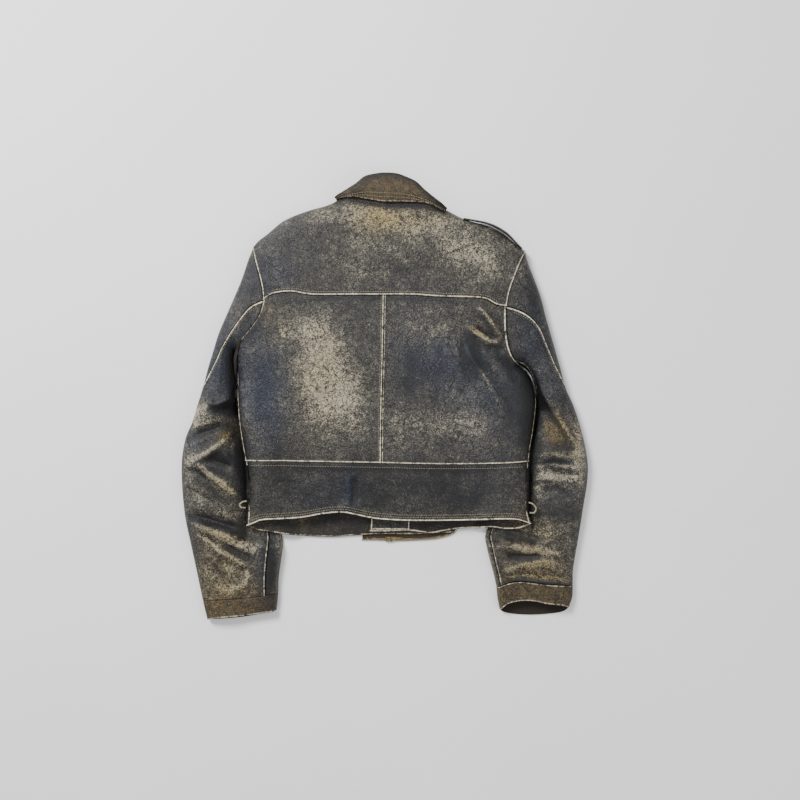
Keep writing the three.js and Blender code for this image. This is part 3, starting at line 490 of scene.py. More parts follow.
# %% Heights of a sleeve
def sleeve_heights(side, folds):
    edges = side["edges"]
    lines = segments([c for name in ("shoulder", "outer", "inner") for c in edges[name]])

    def hold(y):
        return ease(under_body(side, y), *HOLD_START) * underarm_fade(y)

    def inner_hold(x, y):
        middle = (edge_x(edges["inner"], y) + edge_x(edges["outer"], y)) / 2
        return hold(y) * ease(side["outwards"] * (middle - x), -HALF_BLEND, HALF_BLEND)

    def edge_height(x, y):
        return mix(EDGE_HEIGHT, PRESSED_EDGE, inner_hold(x, y))

    def top(x, y):
        free = mix(CUFF_CREST, BACK_CREST, ease(y, *CUFF_TO_ARM)) + folds(x, y)
        out = np.maximum(0, side["outwards"] * (x - edge_x(edges["side"], y)) - UNDER_SIDE_EDGE)
        free_part = (1 - hold(y)) * FREE_HEADROOM + ease(-y, *FOREARM) * FOREARM_HEADROOM
        ceiling = SLEEVE_UNDER_BODY + PRESS_SLOPE * out + free_part
        edge = edge_height(x, y)
        crest = -SOFT * np.log(np.exp(-free / SOFT) + np.exp(-(ceiling - edge) / SOFT))
        roll = mix(TOP_ROLL, PRESSED_ROLL, inner_hold(x, y))
        return edge + crest * turned(distance_to(lines, x, y), roll)

    def under(x, y):
        roll = mix(UNDER_ROLL, PRESSED_ROLL, inner_hold(x, y))
        return edge_height(x, y) * (1 - turned(distance_to(lines, x, y), roll))

    return top, under


LEFT_TOP, LEFT_UNDER = sleeve_heights(LEFT, LEFT_FOLDS)
RIGHT_TOP, RIGHT_UNDER = sleeve_heights(RIGHT, RIGHT_FOLDS)
print("left forearm", height_at(LEFT_TOP, -250, -240), "mm high")
print("right forearm", height_at(RIGHT_TOP, 250, -240), "mm high")

# %% [markdown]
# ## The seams' own relief
# Each panel is a grid of places. Its edges carry the relief of a sewn seam: a groove where two pieces
# meet, and beside it the soft ridge of the folded allowance. It follows the distance from the border
# along the leather, so it works on a turned edge as well as on a flat one.

# %% Close columns at the edges
LEATHER = 1.8
SEAM_GAP = 0.34
NEAR_EDGE = np.array([0, 0.35, 0.8, 1.3, 1.9, 2.6, 3.4, 4.6, 6.2, 8.2, 10.6])
FINE_STEP = 2.8
HIDDEN_STEP = 7


def spread(length, step=FINE_STEP):
    last = NEAR_EDGE[-1]
    count = max(2, int((length - 2 * last) / step))
    middle = np.linspace(last, length - last, count + 1)[1:-1]
    return np.concatenate([NEAR_EDGE, middle, length - NEAR_EDGE[::-1]]) / length


def patch(low, high, left, right, across, up):
    """Places inside four curves, each one given by its share along."""
    a, b = across[None, :, None], up[:, None, None]
    corner = {(s, t): curve(np.array([s]))[0] for curve, t in ((low, 0), (high, 1)) for s in (0, 1)}
    grid = low(across)[None] * (1 - b) + high(across)[None] * b
    grid = grid + left(up)[:, None] * (1 - a) + right(up)[:, None] * a
    grid = grid - (1 - a) * (1 - b) * corner[0, 0] - a * (1 - b) * corner[1, 0]
    return grid - (1 - a) * b * corner[0, 1] - a * b * corner[1, 1]


print("a panel 470 mm wide has", len(spread(470)), "columns")


# %% Facing and relief of a grid
def steps_along(grid, axis):
    step = np.linalg.norm(np.diff(grid, axis=axis), axis=2)
    zero = np.zeros_like(np.take(step, [0], axis=axis))
    run = np.cumsum(np.concatenate([zero, step], axis=axis), axis=axis)
    return run, np.take(run, [-1], axis=axis) - run


def facing(grid, faces):
    normal = np.cross(np.gradient(grid, axis=1), np.gradient(grid, axis=0))
    normal /= np.linalg.norm(normal, axis=2, keepdims=True) + 1e-9
    return normal * (faces * np.sign(normal[..., 2].mean()) if faces else 1)


def border_runs(grid):
    low, high = steps_along(grid, 0)
    left, right = steps_along(grid, 1)
    return {"low": low, "high": high, "left": left, "right": right}


RIDGE_AT = 1.9
RIDGE_WIDTH = 1.2
GROOVE_WIDTH = 0.7
GROOVE_DEPTH = 0.9
WORN_AT = 1.7
WORN_WIDTH = 1.1
SHADED_WIDTH = 2.2


def weight_and_place(seam, usual):
    """A seam is its weight, or its weight and how far in from the border it lies."""
    return seam if isinstance(seam, tuple) else (seam, usual)


def seam_relief(runs, seams):
    relief = 0
    for name, seam in seams.items():
        run = runs[name]
        ridge, _ = weight_and_place(seam, RIDGE_AT)
        groove = GROOVE_DEPTH * np.exp(-((run / GROOVE_WIDTH) ** 2))
        relief = relief + ridge * np.exp(-(((run - RIDGE_AT) / RIDGE_WIDTH) ** 2)) - groove
    return relief


def seam_mark(runs, seams):
    marks = []
    for name, seam in seams.items():
        weight, place = weight_and_place(seam, WORN_AT)
        marks.append(weight * np.exp(-(((runs[name] - place) / WORN_WIDTH) ** 2)))
    return np.max(marks, axis=0) if marks else np.zeros(next(iter(runs.values())).shape)


def groove_mark(runs, seams):
    """Painted shade in a seam's groove, and a wider band of painted shadow on the side without the ridge.
    """
    marks = []
    for name, seam in seams.items():
        width = GROOVE_WIDTH if weight_and_place(seam, 0)[0] else SHADED_WIDTH
        marks.append(np.exp(-((runs[name] / width) ** 2)))
    return np.max(marks, axis=0) if marks else np.zeros(next(iter(runs.values())).shape)


def crest_of(grid, normal, reach):
    """How far each place stands proud of its neighbours, in millimetres."""
    padded = np.pad(grid, ((reach, reach), (reach, reach), (0, 0)), mode="edge")
    rows, columns = grid.shape[:2]
    mean = 0
    for di, dj in ((0, reach), (2 * reach, reach), (reach, 0), (reach, 2 * reach)):
        mean = mean + padded[di : di + rows, dj : dj + columns] / 4
    return ((grid - mean) * normal).sum(2)


print("a seam's ridge lies", RIDGE_AT, "mm from the border")


# %% [markdown]
# ## Where the leather has worn, and where shade is painted
# The photograph shows khaki, gold, navy and brown patches where the dye has rubbed away. Each patch is
# a soft ellipse: its middle, its two half widths, and its strength.

# %% Worn patches and patches of painted shade, in millimetres
WEAR_AND_SHADE = {
    "pale": [
        (-105, 20, 46, 80, 1.0), (-60, 0, 40, 60, 0.7), (-120, 110, 60, 34, 0.6),
        (-60, 225, 90, 50, 0.22), (60, 285, 60, 28, 0.7), (120, 235, 60, 40, 0.6),
        (120, -40, 70, 36, 0.5), (60, 110, 60, 40, 0.35), (-40, 300, 60, 22, 0.8),
        (318, -85, 14, 50, 0.8), (-322, -110, 14, 36, 0.6), (30, -40, 30, 50, 0.3),
        (-262, 60, 22, 60, 0.15), (264, -210, 50, 30, 0.4), (-300, -158, 30, 30, 0.45),
        (-258, -290, 40, 50, 0.75), (150, 215, 50, 46, 0.45), (246, -258, 44, 18, 0.5),
        (280, -130, 36, 34, 0.4), (254, -154, 36, 22, 0.5), (-240, -220, 60, 26, 0.5),
        (-290, -24, 18, 20, 0.4), (280, -40, 20, 26, 0.2), (-30, 230, 60, 40, 0.3),
        (220, 190, 20, 60, 0.2),
    ],
    "gold": [
        (-8, 290, 46, 30, 1.0), (160, 106, 34, 26, 0.6), (-188, 130, 26, 40, 0.7),
        (278, -52, 15, 28, 1.0), (-256, -58, 20, 18, 1.0), (250, -300, 70, 40, 0.6),
        (240, -215, 70, 34, 0.5), (-110, 10, 50, 90, 0.25), (-250, -215, 60, 26, 0.6),
        (-262, -150, 40, 30, 0.5), (60, 290, 40, 20, 0.4), (120, 120, 40, 30, 0.3),
        (-235, 165, 22, 60, 0.35), (0, 340, 56, 14, 0.9), (-280, 110, 14, 70, 0.15),
    ],
    "navy": [
        (-196, 0, 38, 90, 0.9), (90, 60, 70, 60, 0.7), (-180, 205, 44, 36, 0.5),
        (-54, -155, 12, 34, 1.0), (-285, 70, 50, 100, 0.6), (280, 30, 40, 90, 0.55),
        (-320, -76, 20, 22, 0.8), (-280, -206, 54, 12, 0.7), (-262, 40, 30, 60, 0.7),
        (-200, -290, 16, 60, 0.8), (240, 110, 26, 60, 0.6), (-90, -160, 60, 40, 0.3),
        (160, -10, 50, 60, 0.45), (290, -140, 34, 60, 0.4), (-240, 200, 30, 60, 0.3),
    ],
    # The dark patches are painted shade, in the folds, by the armholes and in the gaps between the
    # sleeves and the body.
    "dark": [
        (-200, 60, 24, 60, 0.3), (100, 60, 50, 50, 0.12), (-130, 236, 60, 40, 0.2),
        (40, 60, 30, 90, 0.25), (210, -20, 26, 70, 0.7), (0, -155, 220, 34, 0.35),
        (150, -150, 80, 34, 0.2), (20, 215, 60, 22, 0.25), (-225, 190, 16, 40, 0.4),
        (240, 150, 26, 60, 0.4), (-264, 44, 26, 60, 0.5), (-286, -206, 50, 9, 0.5),
        (280, -190, 50, 22, 0.5), (-192, -290, 12, 70, 0.6), (110, 205, 40, 26, 0.3),
        (-236, -120, 14, 50, 0.6), (-50, 120, 40, 60, 0.2),
    ],
    "brown": [
        (300, -70, 20, 30, 0.6), (-240, -345, 80, 34, 1.0), (-262, -300, 50, 50, 0.8),
        (250, -335, 80, 34, 0.9), (10, 350, 120, 36, 1.0), (278, -52, 15, 28, 1.3),
        (-256, -60, 40, 40, 0.4), (240, -270, 60, 40, 0.5), (-270, -250, 40, 40, 0.4),
    ],
}
print("patches", {kind: len(places) for kind, places in WEAR_AND_SHADE.items()})

# %% Strokes of shade and of wear
STROKES = {
    # The dark strokes are painted shade: in the troughs of creases, below the yoke and waist seams, under
    # the collar's leaf and along its fold, and in the gaps beside the sleeves.
    "dark": total([
        fold([[-251, 92], [-252, 60], [-251, 20], [-246, -12]], 1.3, 7),
        fold([[-292, -8], [-276, -17], [-258, -12], [-246, -4]], 1.0, 8),
        fold([[-324, -70], [-298, -62], [-270, -52], [-250, -46]], 1.1, 7),
        fold([[-262, -12], [-252, -22], [-248, -36]], 1.2, 9),
        fold([[-300, -116], [-276, -122], [-250, -132]], 0.8, 6),
        fold([[-324, -122], [-306, -136], [-280, -160], [-262, -178]], 0.6, 6),
        fold([[-290, -96], [-268, -102], [-248, -106], [-236, -112]], 1.0, 12),
        fold([[-252, -44], [-246, -80], [-236, -130]], 0.8, 6),
        fold([[-328, -195], [-298, -205], [-262, -218], [-220, -236]], 1.1, 6),
        fold([[-262, -208], [-244, -214], [-224, -222]], 0.8, 8),
        fold([[-268, -246], [-244, -260], [-214, -272]], 0.8, 6),
        fold([[-262, -262], [-276, -280], [-262, -300], [-240, -296]], 0.5, 9),
        fold([[-196, -226], [-188, -262], [-190, -340]], 0.8, 8),
        fold([[236, 40], [250, 14], [252, -30], [244, -70]], 1.3, 8),
        fold([[228, 58], [244, 30], [256, 2], [266, -20], [282, -44], [298, -66]], 1.3, 5),
        fold([[252, -60], [250, -90], [244, -130], [240, -180]], 0.8, 6),
        fold([[262, -90], [290, -84], [312, -92]], 0.6, 9),
        fold([[252, -112], [280, -106], [306, -110]], 0.7, 8),
        fold([[250, -150], [276, -146], [300, -150]], 0.7, 10),
        fold([[192, -222], [222, -236], [258, -246]], 0.9, 8),
        fold([[196, -262], [230, -266], [266, -262]], 0.8, 8),
        fold([[184, -309], [224, -304], [268, -307], [310, -310]], 1.1, 3),
        fold([[132, 118], [142, 88], [148, 60], [164, 34]], 1.0, 13),
        fold([[176, 76], [194, 62], [206, 44]], 0.7, 8),
        fold([[204, 60], [222, 40], [232, 10], [236, -50], [228, -100]], 0.9, 14),
        fold([[150, 144], [166, 122], [178, 100]], 0.6, 5),
        fold([[-236, 150], [-224, 128], [-232, 108], [-244, 90]], 0.6, 8),
        fold([[-198, 140], [-206, 120], [-224, 98], [-236, 78]], 0.5, 6),
        fold([[-205, 150], [-120, 160], [0, 161], [90, 158], [180, 146]], 0.4, 4),
        fold([[-222, -116], [-120, -116], [0, -117], [120, -119], [228, -117]], 0.6, 6),
        fold([[-84, 330], [-48, 351], [-18, 365], [18, 366], [50, 354], [84, 326], [107, 305]], 1.1, 7),
        fold(
            [[-84, 321], [-70, 323], [-48, 322], [-26, 318], [-3, 314], [40, 314], [78, 310], [104, 300]],
            1.3,
            4,
        ),
        fold([[-50, -128], [-49, -155], [-51, -186]], 0.8, 5),
        fold([[-236, -40], [-232, -100], [-226, -190]], 0.6, 8),
    ]),
    "pale": total([
        fold([[-296, -2], [-306, -28], [-318, -52]], 0.7, 6),
        fold([[-318, -40], [-307, -22], [-290, -11]], 0.8, 6),
        fold([[-322, -100], [-300, -94], [-280, -82], [-262, -66]], 0.4, 8),
        fold([[-320, -101], [-300, -95], [-280, -83], [-258, -62]], 0.9, 2.6),
        fold([[-312, -104], [-286, -128], [-262, -146], [-242, -160]], 0.5, 8),
        fold([[-313, -104], [-286, -127], [-262, -147], [-240, -166]], 1.1, 2.8),
        fold([[-326, -206], [-296, -217], [-264, -232], [-216, -252]], 0.5, 8),
        fold([[-328, -203], [-296, -215], [-264, -230], [-214, -250]], 1.1, 2.4),
        fold([[-316, -222], [-290, -238], [-266, -254], [-240, -268]], 0.7, 2.6),
        fold([[-232, -280], [-226, -296], [-240, -312], [-262, -320]], 0.7, 6),
        fold([[244, -102], [270, -94], [304, -100]], 0.4, 8),
        fold([[242, -117], [276, -111], [320, -117]], 0.9, 2.6),
        fold([[244, -133], [280, -125], [322, -133]], 1.0, 2.6),
        fold([[246, -150], [276, -143], [308, -149]], 0.8, 2.6),
        fold([[250, -128], [276, -124], [312, -130]], 0.7, 8),
        fold([[190, -232], [216, -244], [250, -256], [284, -262]], 0.5, 9),
        fold([[194, -226], [226, -240], [256, -250], [284, -256]], 0.9, 2.6),
        fold([[190, -290], [222, -282], [262, -276], [300, -282]], 0.7, 7),
        fold([[188, -300], [226, -295], [268, -298], [306, -302]], 1.0, 2.2),
        fold([[148, 152], [164, 134], [182, 111]], 0.55, 3),
        fold([[132, 120], [152, 105], [170, 95], [186, 88]], 0.75, 3.5),
        fold([[150, 56], [160, 38], [172, 16]], 0.4, 3.5),
        fold([[-110, 96], [-96, 60], [-80, 40]], 0.4, 12),
        fold([[-4, 250], [20, 236], [40, 212]], 0.4, 9),
    ]),
}


def patches(kind, x, y):
    total_of = STROKES[kind](x, y) if kind in STROKES else np.zeros(np.shape(x))
    for middle_x, middle_y, half_x, half_y, strength in WEAR_AND_SHADE[kind]:
        square = ((x - middle_x) / half_x) ** 2 + ((y - middle_y) / half_y) ** 2
        total_of = total_of + strength * np.exp(-square)
    return total_of


middle = np.array([-105.0]), np.array([20.0])
print("wear on the left of the back", {kind: round(float(patches(kind, *middle)[0]), 2) for kind in WEAR_AND_SHADE})


# %% [markdown]
# ## From a grid to a leather panel
# A panel is closed: its outer face, its inner face a leather's thickness in, and the rim between them.
# The wear, and the marks of painted shade in grooves and hollows, are kept on its vertices, where the
# leather's material reads them. Crests are judged at two scales, each one given by its reach in grid
# steps, the height that counts as full, and its weight.

# %% Into the frame's own metres
SLIDER_CORNER = np.array([0, -241])
slider_low = np.array(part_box("zip_slider")[0][:2])
SHIFT = slider_low - SLIDER_CORNER / 1000


def metres(points):
    points = np.asarray(points, dtype=float) / 1000
    points[..., :2] += SHIFT
    return points


print("outlines shift by", np.round(SHIFT * 1000, 2), "mm")

# %% Closed panels
PANELS = {}
INNER_FLOOR = 0.3
CREST_SCALES = ((1, 0.4, 0.4), (3, 2.4, 0.7))


def mesh_object(name, vertices, faces, materials, slots=None):
    mesh = bpy.data.meshes.new(name)
    mesh.from_pydata([tuple(v) for v in vertices], [], faces)
    for material in materials:
        mesh.materials.append(material)
    if slots is not None:
        mesh.polygons.foreach_set("material_index", np.asarray(slots, dtype=np.int32))
    mesh.polygons.foreach_set("use_smooth", np.ones(len(faces), dtype=bool))
    mesh.update()
    made = bpy.data.objects.new(name, mesh)
    bpy.context.scene.collection.objects.link(made)
    return made


def closed_faces(rows, columns):
    index = np.arange(2 * rows * columns).reshape(2, rows, columns)
    outer, inner = index

    def quads(a, b, c, d):
        return np.stack([a.ravel(), b.ravel(), c.ravel(), d.ravel()], axis=1)

    def sheet(g):
        return quads(g[:-1, :-1], g[:-1, 1:], g[1:, 1:], g[1:, :-1])

    rims = []
    for a, b in ((outer[0], inner[0]), (inner[-1], outer[-1]), (inner[:, 0], outer[:, 0])):
        rims.append(quads(a[:-1], b[:-1], b[1:], a[1:]))
    rims.append(quads(outer[:-1, -1], inner[:-1, -1], inner[1:, -1], outer[1:, -1]))
    faces = np.vstack([sheet(outer), sheet(inner)[:, ::-1], *rims])
    slots = np.zeros(len(faces), dtype=np.int32)
    count = (rows - 1) * (columns - 1)
    slots[count : 2 * count] = 1
    return faces, slots


def draw_in(sheet, edge, next_to):
    """Moves a border row half the seam's gap towards the row beside it."""
    way = sheet[next_to] - sheet[edge]
    sheet[edge] += way / (np.linalg.norm(way, axis=1, keepdims=True) + 1e-9) * SEAM_GAP / 2


def crest_mark(sheet, normal):
    """Fine and broad crests together; hollows are negative."""
    marks = 0
    for reach, full_height, weight in CREST_SCALES:
        marks = marks + np.clip(crest_of(sheet, normal, reach) / full_height, -1, 1) * weight
    return marks


def area_of(grid):
    along, across = grid[1:, :-1] - grid[:-1, :-1], grid[:-1, 1:] - grid[:-1, :-1]
    return float(np.linalg.norm(np.cross(along, across), axis=2).sum()) / 1e6


def outward(quads, vertices):
    """The same quads, turned over if they enclose a negative volume."""
    a, b, c, d = (vertices[quads[:, k]] for k in range(4))
    volume = (a * np.cross(b, c)).sum() + (a * np.cross(c, d)).sum()
    return quads[:, ::-1] if volume < 0 else quads


def panel(name, grid, node, outside, faces=1, seams=None, inside=None, thickness=LEATHER, lies_on=()):
    """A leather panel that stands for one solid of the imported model."""
    seams = seams or {}
    normal = facing(grid, faces)
    runs = border_runs(grid)
    outer = grid + normal * np.asarray(seam_relief(runs, seams))[..., None] if seams else grid.copy()
    inner = grid - normal * thickness
    for sheet in (outer, inner):
        for edge, next_to in ((0, 1), (-1, -2)):
            draw_in(sheet, edge, next_to)
            draw_in(sheet.transpose(1, 0, 2), edge, next_to)
    outer[..., 2] = np.maximum(outer[..., 2], 0)
    inner[..., 2] = np.maximum(inner[..., 2], INNER_FLOOR)
    rows, columns = grid.shape[:2]
    quads, slots = closed_faces(rows, columns)
    vertices = metres(np.concatenate([outer.reshape(-1, 3), inner.reshape(-1, 3)]))
    quads = outward(quads, vertices)
    made = mesh_object(name, vertices, quads.tolist(), [outside, inside or INSIDE], slots)
    # The groove mark, the crest mark's hollows and the dark patches and strokes are painted shade; the
    # other marks are wear.
    wear = {
        "seam": seam_mark(runs, seams),
        "crest": crest_mark(outer, normal),
        "groove": groove_mark(runs, seams),
    }
    for kind in WEAR_AND_SHADE:
        wear[kind] = patches(kind, grid[..., 0], grid[..., 1])
    for kind, values in wear.items():
        flat = np.asarray(values, dtype=np.float32).ravel()
        mark = made.data.attributes.new(kind, "FLOAT", "POINT")
        mark.data.foreach_set("value", np.concatenate([flat, flat]))
    width = float(steps_along(grid, 1)[0].max()) / 1000
    length = float(steps_along(grid, 0)[0].max()) / 1000
    area = area_of(grid)
    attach(made, "root")
    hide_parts(node)
    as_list(lies_on)
    PANELS[name] = (width, length, area)
    return made


# %% [markdown]
# ## Materials
# A finish is a tree of nodes. It could be put together node by node, but then the recipe is lost among
# the links. A small class wraps a socket, so that a sum in Python adds the Math nodes for it, and every
# other node comes from one method.

# %% Arithmetic on shader sockets
class Value:
    """A shader's number that can be added, multiplied and eased like any other."""

    def __init__(self, shader, socket):
        self.shader = shader
        self.socket = socket

    def math(self, operation, *others):
        sockets = dict(enumerate((self, *others)))
        node = self.shader.node("ShaderNodeMath", {"operation": operation}, sockets)
        return Value(self.shader, node.outputs[0])

    def __add__(self, other):
        return self.math("ADD", other)

    def __sub__(self, other):
        return self.math("SUBTRACT", other)

    def __rsub__(self, other):
        return self.math("MULTIPLY", -1.0).math("ADD", other)

    def __mul__(self, other):
        return self.math("MULTIPLY", other)

    __radd__ = __add__
    __rmul__ = __mul__

    def clipped(self):
        return self.math("MAXIMUM", 0.0).math("MINIMUM", 1.0)

    def widened(self, factor):
        """Noise keeps close to a half, so it is spread out to reach from nought to one."""
        return ((self - 0.5) * factor + 0.5).clipped()

    def eased(self, low, high):
        sockets = {"Value": self, "From Min": low, "From Max": high}
        node = self.shader.node("ShaderNodeMapRange", {"interpolation_type": "SMOOTHSTEP"}, sockets)
        return Value(self.shader, node.outputs["Result"])


def linear(code):
    """A colour written as six hexadecimal digits, as Blender's linear red, green, blue and alpha."""
    channels = [int(code[k : k + 2], 16) / 255 for k in (0, 2, 4)]
    return tuple(c / 12.92 if c <= 0.04045 else ((c + 0.055) / 1.055) ** 2.4 for c in channels) + (1.0,)


print("middle grey is", round(linear("808080")[0], 3), "in linear light")

# %% One material's nodes
GLOSS = 0.3


class Shader:
    """One material's nodes: textures in the object's own coordinates, mixed colours, and bump."""

    def __init__(self, name, roughness=0.6, metallic=0.0):
        self.material = bpy.data.materials.new(name)
        self.material.use_nodes = True
        self.tree = self.material.node_tree
        self.surface = self.tree.nodes["Principled BSDF"]
        self.surface.inputs["Roughness"].default_value = roughness
        self.surface.inputs["Specular IOR Level"].default_value = GLOSS
        self.surface.inputs["Metallic"].default_value = metallic
        self.place = self.node("ShaderNodeTexCoord").outputs["Object"]
        self.height = None

    def node(self, kind, settings=None, sockets=None):
        """A node of this type: its settings are set first, then its sockets get values or links."""
        made = self.tree.nodes.new(kind)
        for name, setting in (settings or {}).items():
            setattr(made, name, setting)
        for name, given in (sockets or {}).items():
            given = given.socket if isinstance(given, Value) else given
            if isinstance(given, bpy.types.NodeSocket):
                self.tree.links.new(given, made.inputs[name])
            else:
                made.inputs[name].default_value = given
        return made

    def stretched(self, scale, turn=0.0):
        """The object's coordinates, multiplied along each axis and turned about Z."""
        sockets = {"Scale": [1 / each for each in scale], "Rotation": (0, 0, turn), "Vector": self.place}
        return self.node("ShaderNodeMapping", {"vector_type": "TEXTURE"}, sockets).outputs["Vector"]

    def warped(self, scale, amount):
        """The object's coordinates, pushed about by noise so that nothing runs in straight lines."""
        push = self.node("ShaderNodeTexNoise", None, {"Scale": scale, "Vector": self.place})
        sockets = {0: push.outputs["Color"], 1: (amount, amount, amount), 2: self.place}
        return self.node("ShaderNodeVectorMath", {"operation": "MULTIPLY_ADD"}, sockets).outputs[0]

    def noise(self, scale, detail=3.0, roughness=0.55, distortion=0.0, place=None):
        sockets = {"Scale": scale, "Detail": detail, "Roughness": roughness, "Distortion": distortion}
        sockets["Vector"] = place or self.place
        return Value(self, self.node("ShaderNodeTexNoise", None, sockets).outputs["Fac"])

    def cells(self, scale, feature="F1", place=None):
        sockets = {"Scale": scale, "Vector": place or self.place}
        node = self.node("ShaderNodeTexVoronoi", {"feature": feature}, sockets)
        return Value(self, node.outputs["Distance"])

    def mark(self, name):
        """What a panel's vertices carry under this name."""
        return Value(self, self.node("ShaderNodeAttribute", {"attribute_name": name}).outputs["Fac"])

    def mixed(self, first, second, share):
        """A mix of two colours, which are the Mix node's sockets 6 and 7 and its output 2."""
        a, b = (linear(each) if isinstance(each, str) else each for each in (first, second))
        node = self.node("ShaderNodeMix", {"data_type": "RGBA"}, {"Factor": share, 6: a, 7: b})
        return node.outputs[2]

    def colour(self, socket):
        self.tree.links.new(socket, self.surface.inputs["Base Color"])

    def roughness(self, value):
        self.tree.links.new(value.socket, self.surface.inputs["Roughness"])

    def bump(self, value, strength, distance):
        """Relief on top of the relief that is there already."""
        sockets = {"Strength": strength, "Distance": distance, "Height": value}
        if self.height:
            sockets["Normal"] = self.height
        self.height = self.node("ShaderNodeBump", None, sockets).outputs["Normal"]
        self.tree.links.new(self.height, self.surface.inputs["Normal"])


print("gloss of every finish", GLOSS)

# %% [markdown]
# ## Worn leather
# The finish is a thin coat of dye over a pale hide. The dye goes first on the grain's high points, so
# rubbed leather looks speckled before it looks pale, and it breaks along cracks and scratches. A
# picture wrapped round the jacket would show this too, but would smear where the leather turns under.
# Noise in three dimensions has no such place, and the marks on the vertices say where there is much
# wear, and where shade is painted into the colour: in hollows, in seam grooves and along the dark marks.

# %% Cracks and scratches
def crackle(s, cloudy):
    """Wide cracks where it is cloudy and small ones elsewhere, and the furrows round the grain."""
    wide = 1 - s.cells(70, "DISTANCE_TO_EDGE", s.warped(60, 0.012)).eased(0.0, 0.08)
    small = 1 - s.cells(190, "DISTANCE_TO_EDGE", s.warped(150, 0.006)).eased(0.0, 0.14)
    furrows = 1 - s.cells(400, "DISTANCE_TO_EDGE", s.warped(300, 0.002)).eased(0.0, 0.2)
    return (wide * cloudy * 0.9 + small * (1 - cloudy) * 0.5).clipped(), furrows


def scratched(s):
    """Long thin streaks in three directions."""
    scratches = 0
    for turn in (0.4, 1.3, 2.5):
        streak = s.noise(1.0, 2, 0.6, 0.4, s.stretched((560, 34, 34), turn)).widened(2.6)
        scratches = streak.eased(0.88, 1.0) + scratches
    return scratches


# %% The worn finish, with painted shade
BARE_BROWN = "46371e"
BARE_GOLD = "a5925d"
SCRATCH = "b4ac97"
# The next two colours are painted shade for hollows, seam grooves and dark marks; the first is also the
# dirt in cracks and grain.
HOLLOW_SHADE_AND_CRACK_DIRT = "0b0a0a"
PAINTED_SHADE_COLOUR = "060607"
RUBBED_SEAM = "d8cdb2"


def worn_leather(name, dark, cool, hide, wear=0.0):
    """Leather whose dye has rubbed off more where `wear` is higher and on every crest and seam; shade is
    painted into its hollows, seam grooves and dark marks.
    """
    s = Shader(name)
    broad = s.noise(8, 2).widened(2.2)
    cloudy = s.noise(32, 4, 0.6).widened(2.4)
    blotch = s.noise(120, 5, 0.7, 0.6).widened(2.6)
    speck = s.noise(430, 3, 0.75).widened(2.8)
    fine = s.noise(1300, 2, 0.6).widened(2.2)
    crest, seam, groove = s.mark("crest"), s.mark("seam"), s.mark("groove")
    pale, gold, navy = s.mark("pale"), s.mark("gold"), s.mark("navy")
    brown, painted_shade_at = s.mark("brown"), s.mark("dark")
    cracks, furrows = crackle(s, cloudy)
    scratches = scratched(s) * (blotch * 0.5 + 0.4 * pale)

    # How much of the dye has gone, and where that shows as flakes and as a haze
    density = 0.11 + wear + pale * 0.46 + gold * 0.12 + crest.math("MAXIMUM", 0.0) * 0.3 - navy * 0.08
    density = density + (cloudy - 0.5) * 0.22 + (broad - 0.5) * 0.14 - painted_shade_at * 0.25
    grain = blotch * 0.26 + speck * 0.38 + fine * 0.36
    flakes = grain.eased(0.91 - density, 1.09 - density)
    haze = (density * (grain * 2.4 - 0.3)).clipped()
    warm = (gold * 0.8 + brown * 0.5 + 0.3 * (broad - 0.4)).clipped()

    # The dye's own colour, then the bare hide over it, then scratches and dust
    tone = s.mixed(dark, cool, (navy * 0.9 + (broad - 0.5) * 0.5 + 0.15).clipped())
    tone = s.mixed(tone, BARE_BROWN, (brown * 0.9 + gold * 0.25 - 0.05).clipped())
    tone = s.mixed(tone, s.mixed(hide, BARE_GOLD, warm), (flakes * 0.6 + haze * 0.62).clipped())
    tone = s.mixed(tone, SCRATCH, (scratches * 0.5).clipped())
    dust = (fine * 0.6 + speck * 0.4).eased(0.62, 0.85) * (0.2 + 0.3 * blotch)
    tone = s.mixed(tone, hide, (dust * (1 - painted_shade_at * 0.6)).clipped())

    # Painted shade in the hollows of the folds, dirt in the cracks and pits of the grain, painted shade
    # in the seams' grooves and along the dark marks, and the rubbed ridges of the seams on top
    painted_hollow_shade = (crest * -1.0).clipped()
    pits = (1 - grain).eased(0.46, 0.64) * 0.65
    tone = s.mixed(tone, HOLLOW_SHADE_AND_CRACK_DIRT, (painted_hollow_shade * 0.8 + cracks * 0.65 + furrows * 0.5 + pits).clipped())
    tone = s.mixed(tone, PAINTED_SHADE_COLOUR, (painted_shade_at * 0.78 + groove * 0.75).clipped())
    ridge = (seam * (0.55 + (blotch - 0.5) * 0.7 + (speck - 0.5) * 0.6)).eased(0.12, 0.55)
    tone = s.mixed(tone, RUBBED_SEAM, ridge * 0.9)
    s.colour(tone)
    s.roughness((0.5 + flakes * 0.3 + ridge * 0.2 + (speck - 0.5) * 0.12 - painted_hollow_shade * 0.1).clipped())
    s.bump(s.cells(430) * 0.7 + s.cells(1100) * 0.3 + fine * 0.3, strength=0.6, distance=0.0012)
    s.bump(blotch * 0.4 - cracks * 0.9 - flakes * 0.25, strength=0.45, distance=0.0008)
    return s.material


BODY = worn_leather("body_leather", "151413", "182540", "aaa28d", 0.02)
SLEEVE = worn_leather("sleeve_leather", "141313", "17233a", "a7a08e", 0.03)
CUFF = worn_leather("cuff_leather", "1f170e", "161518", "8c7b5a", -0.02)
COLLAR = worn_leather("collar_leather", "170e02", "150d03", "80611f", -0.1)
LINING_LEATHER = worn_leather("facing_leather", "17120d", "131a27", "8a7a60", -0.02)
print("leathers", [each.name for each in (BODY, SLEEVE, CUFF, COLLAR, LINING_LEATHER)])


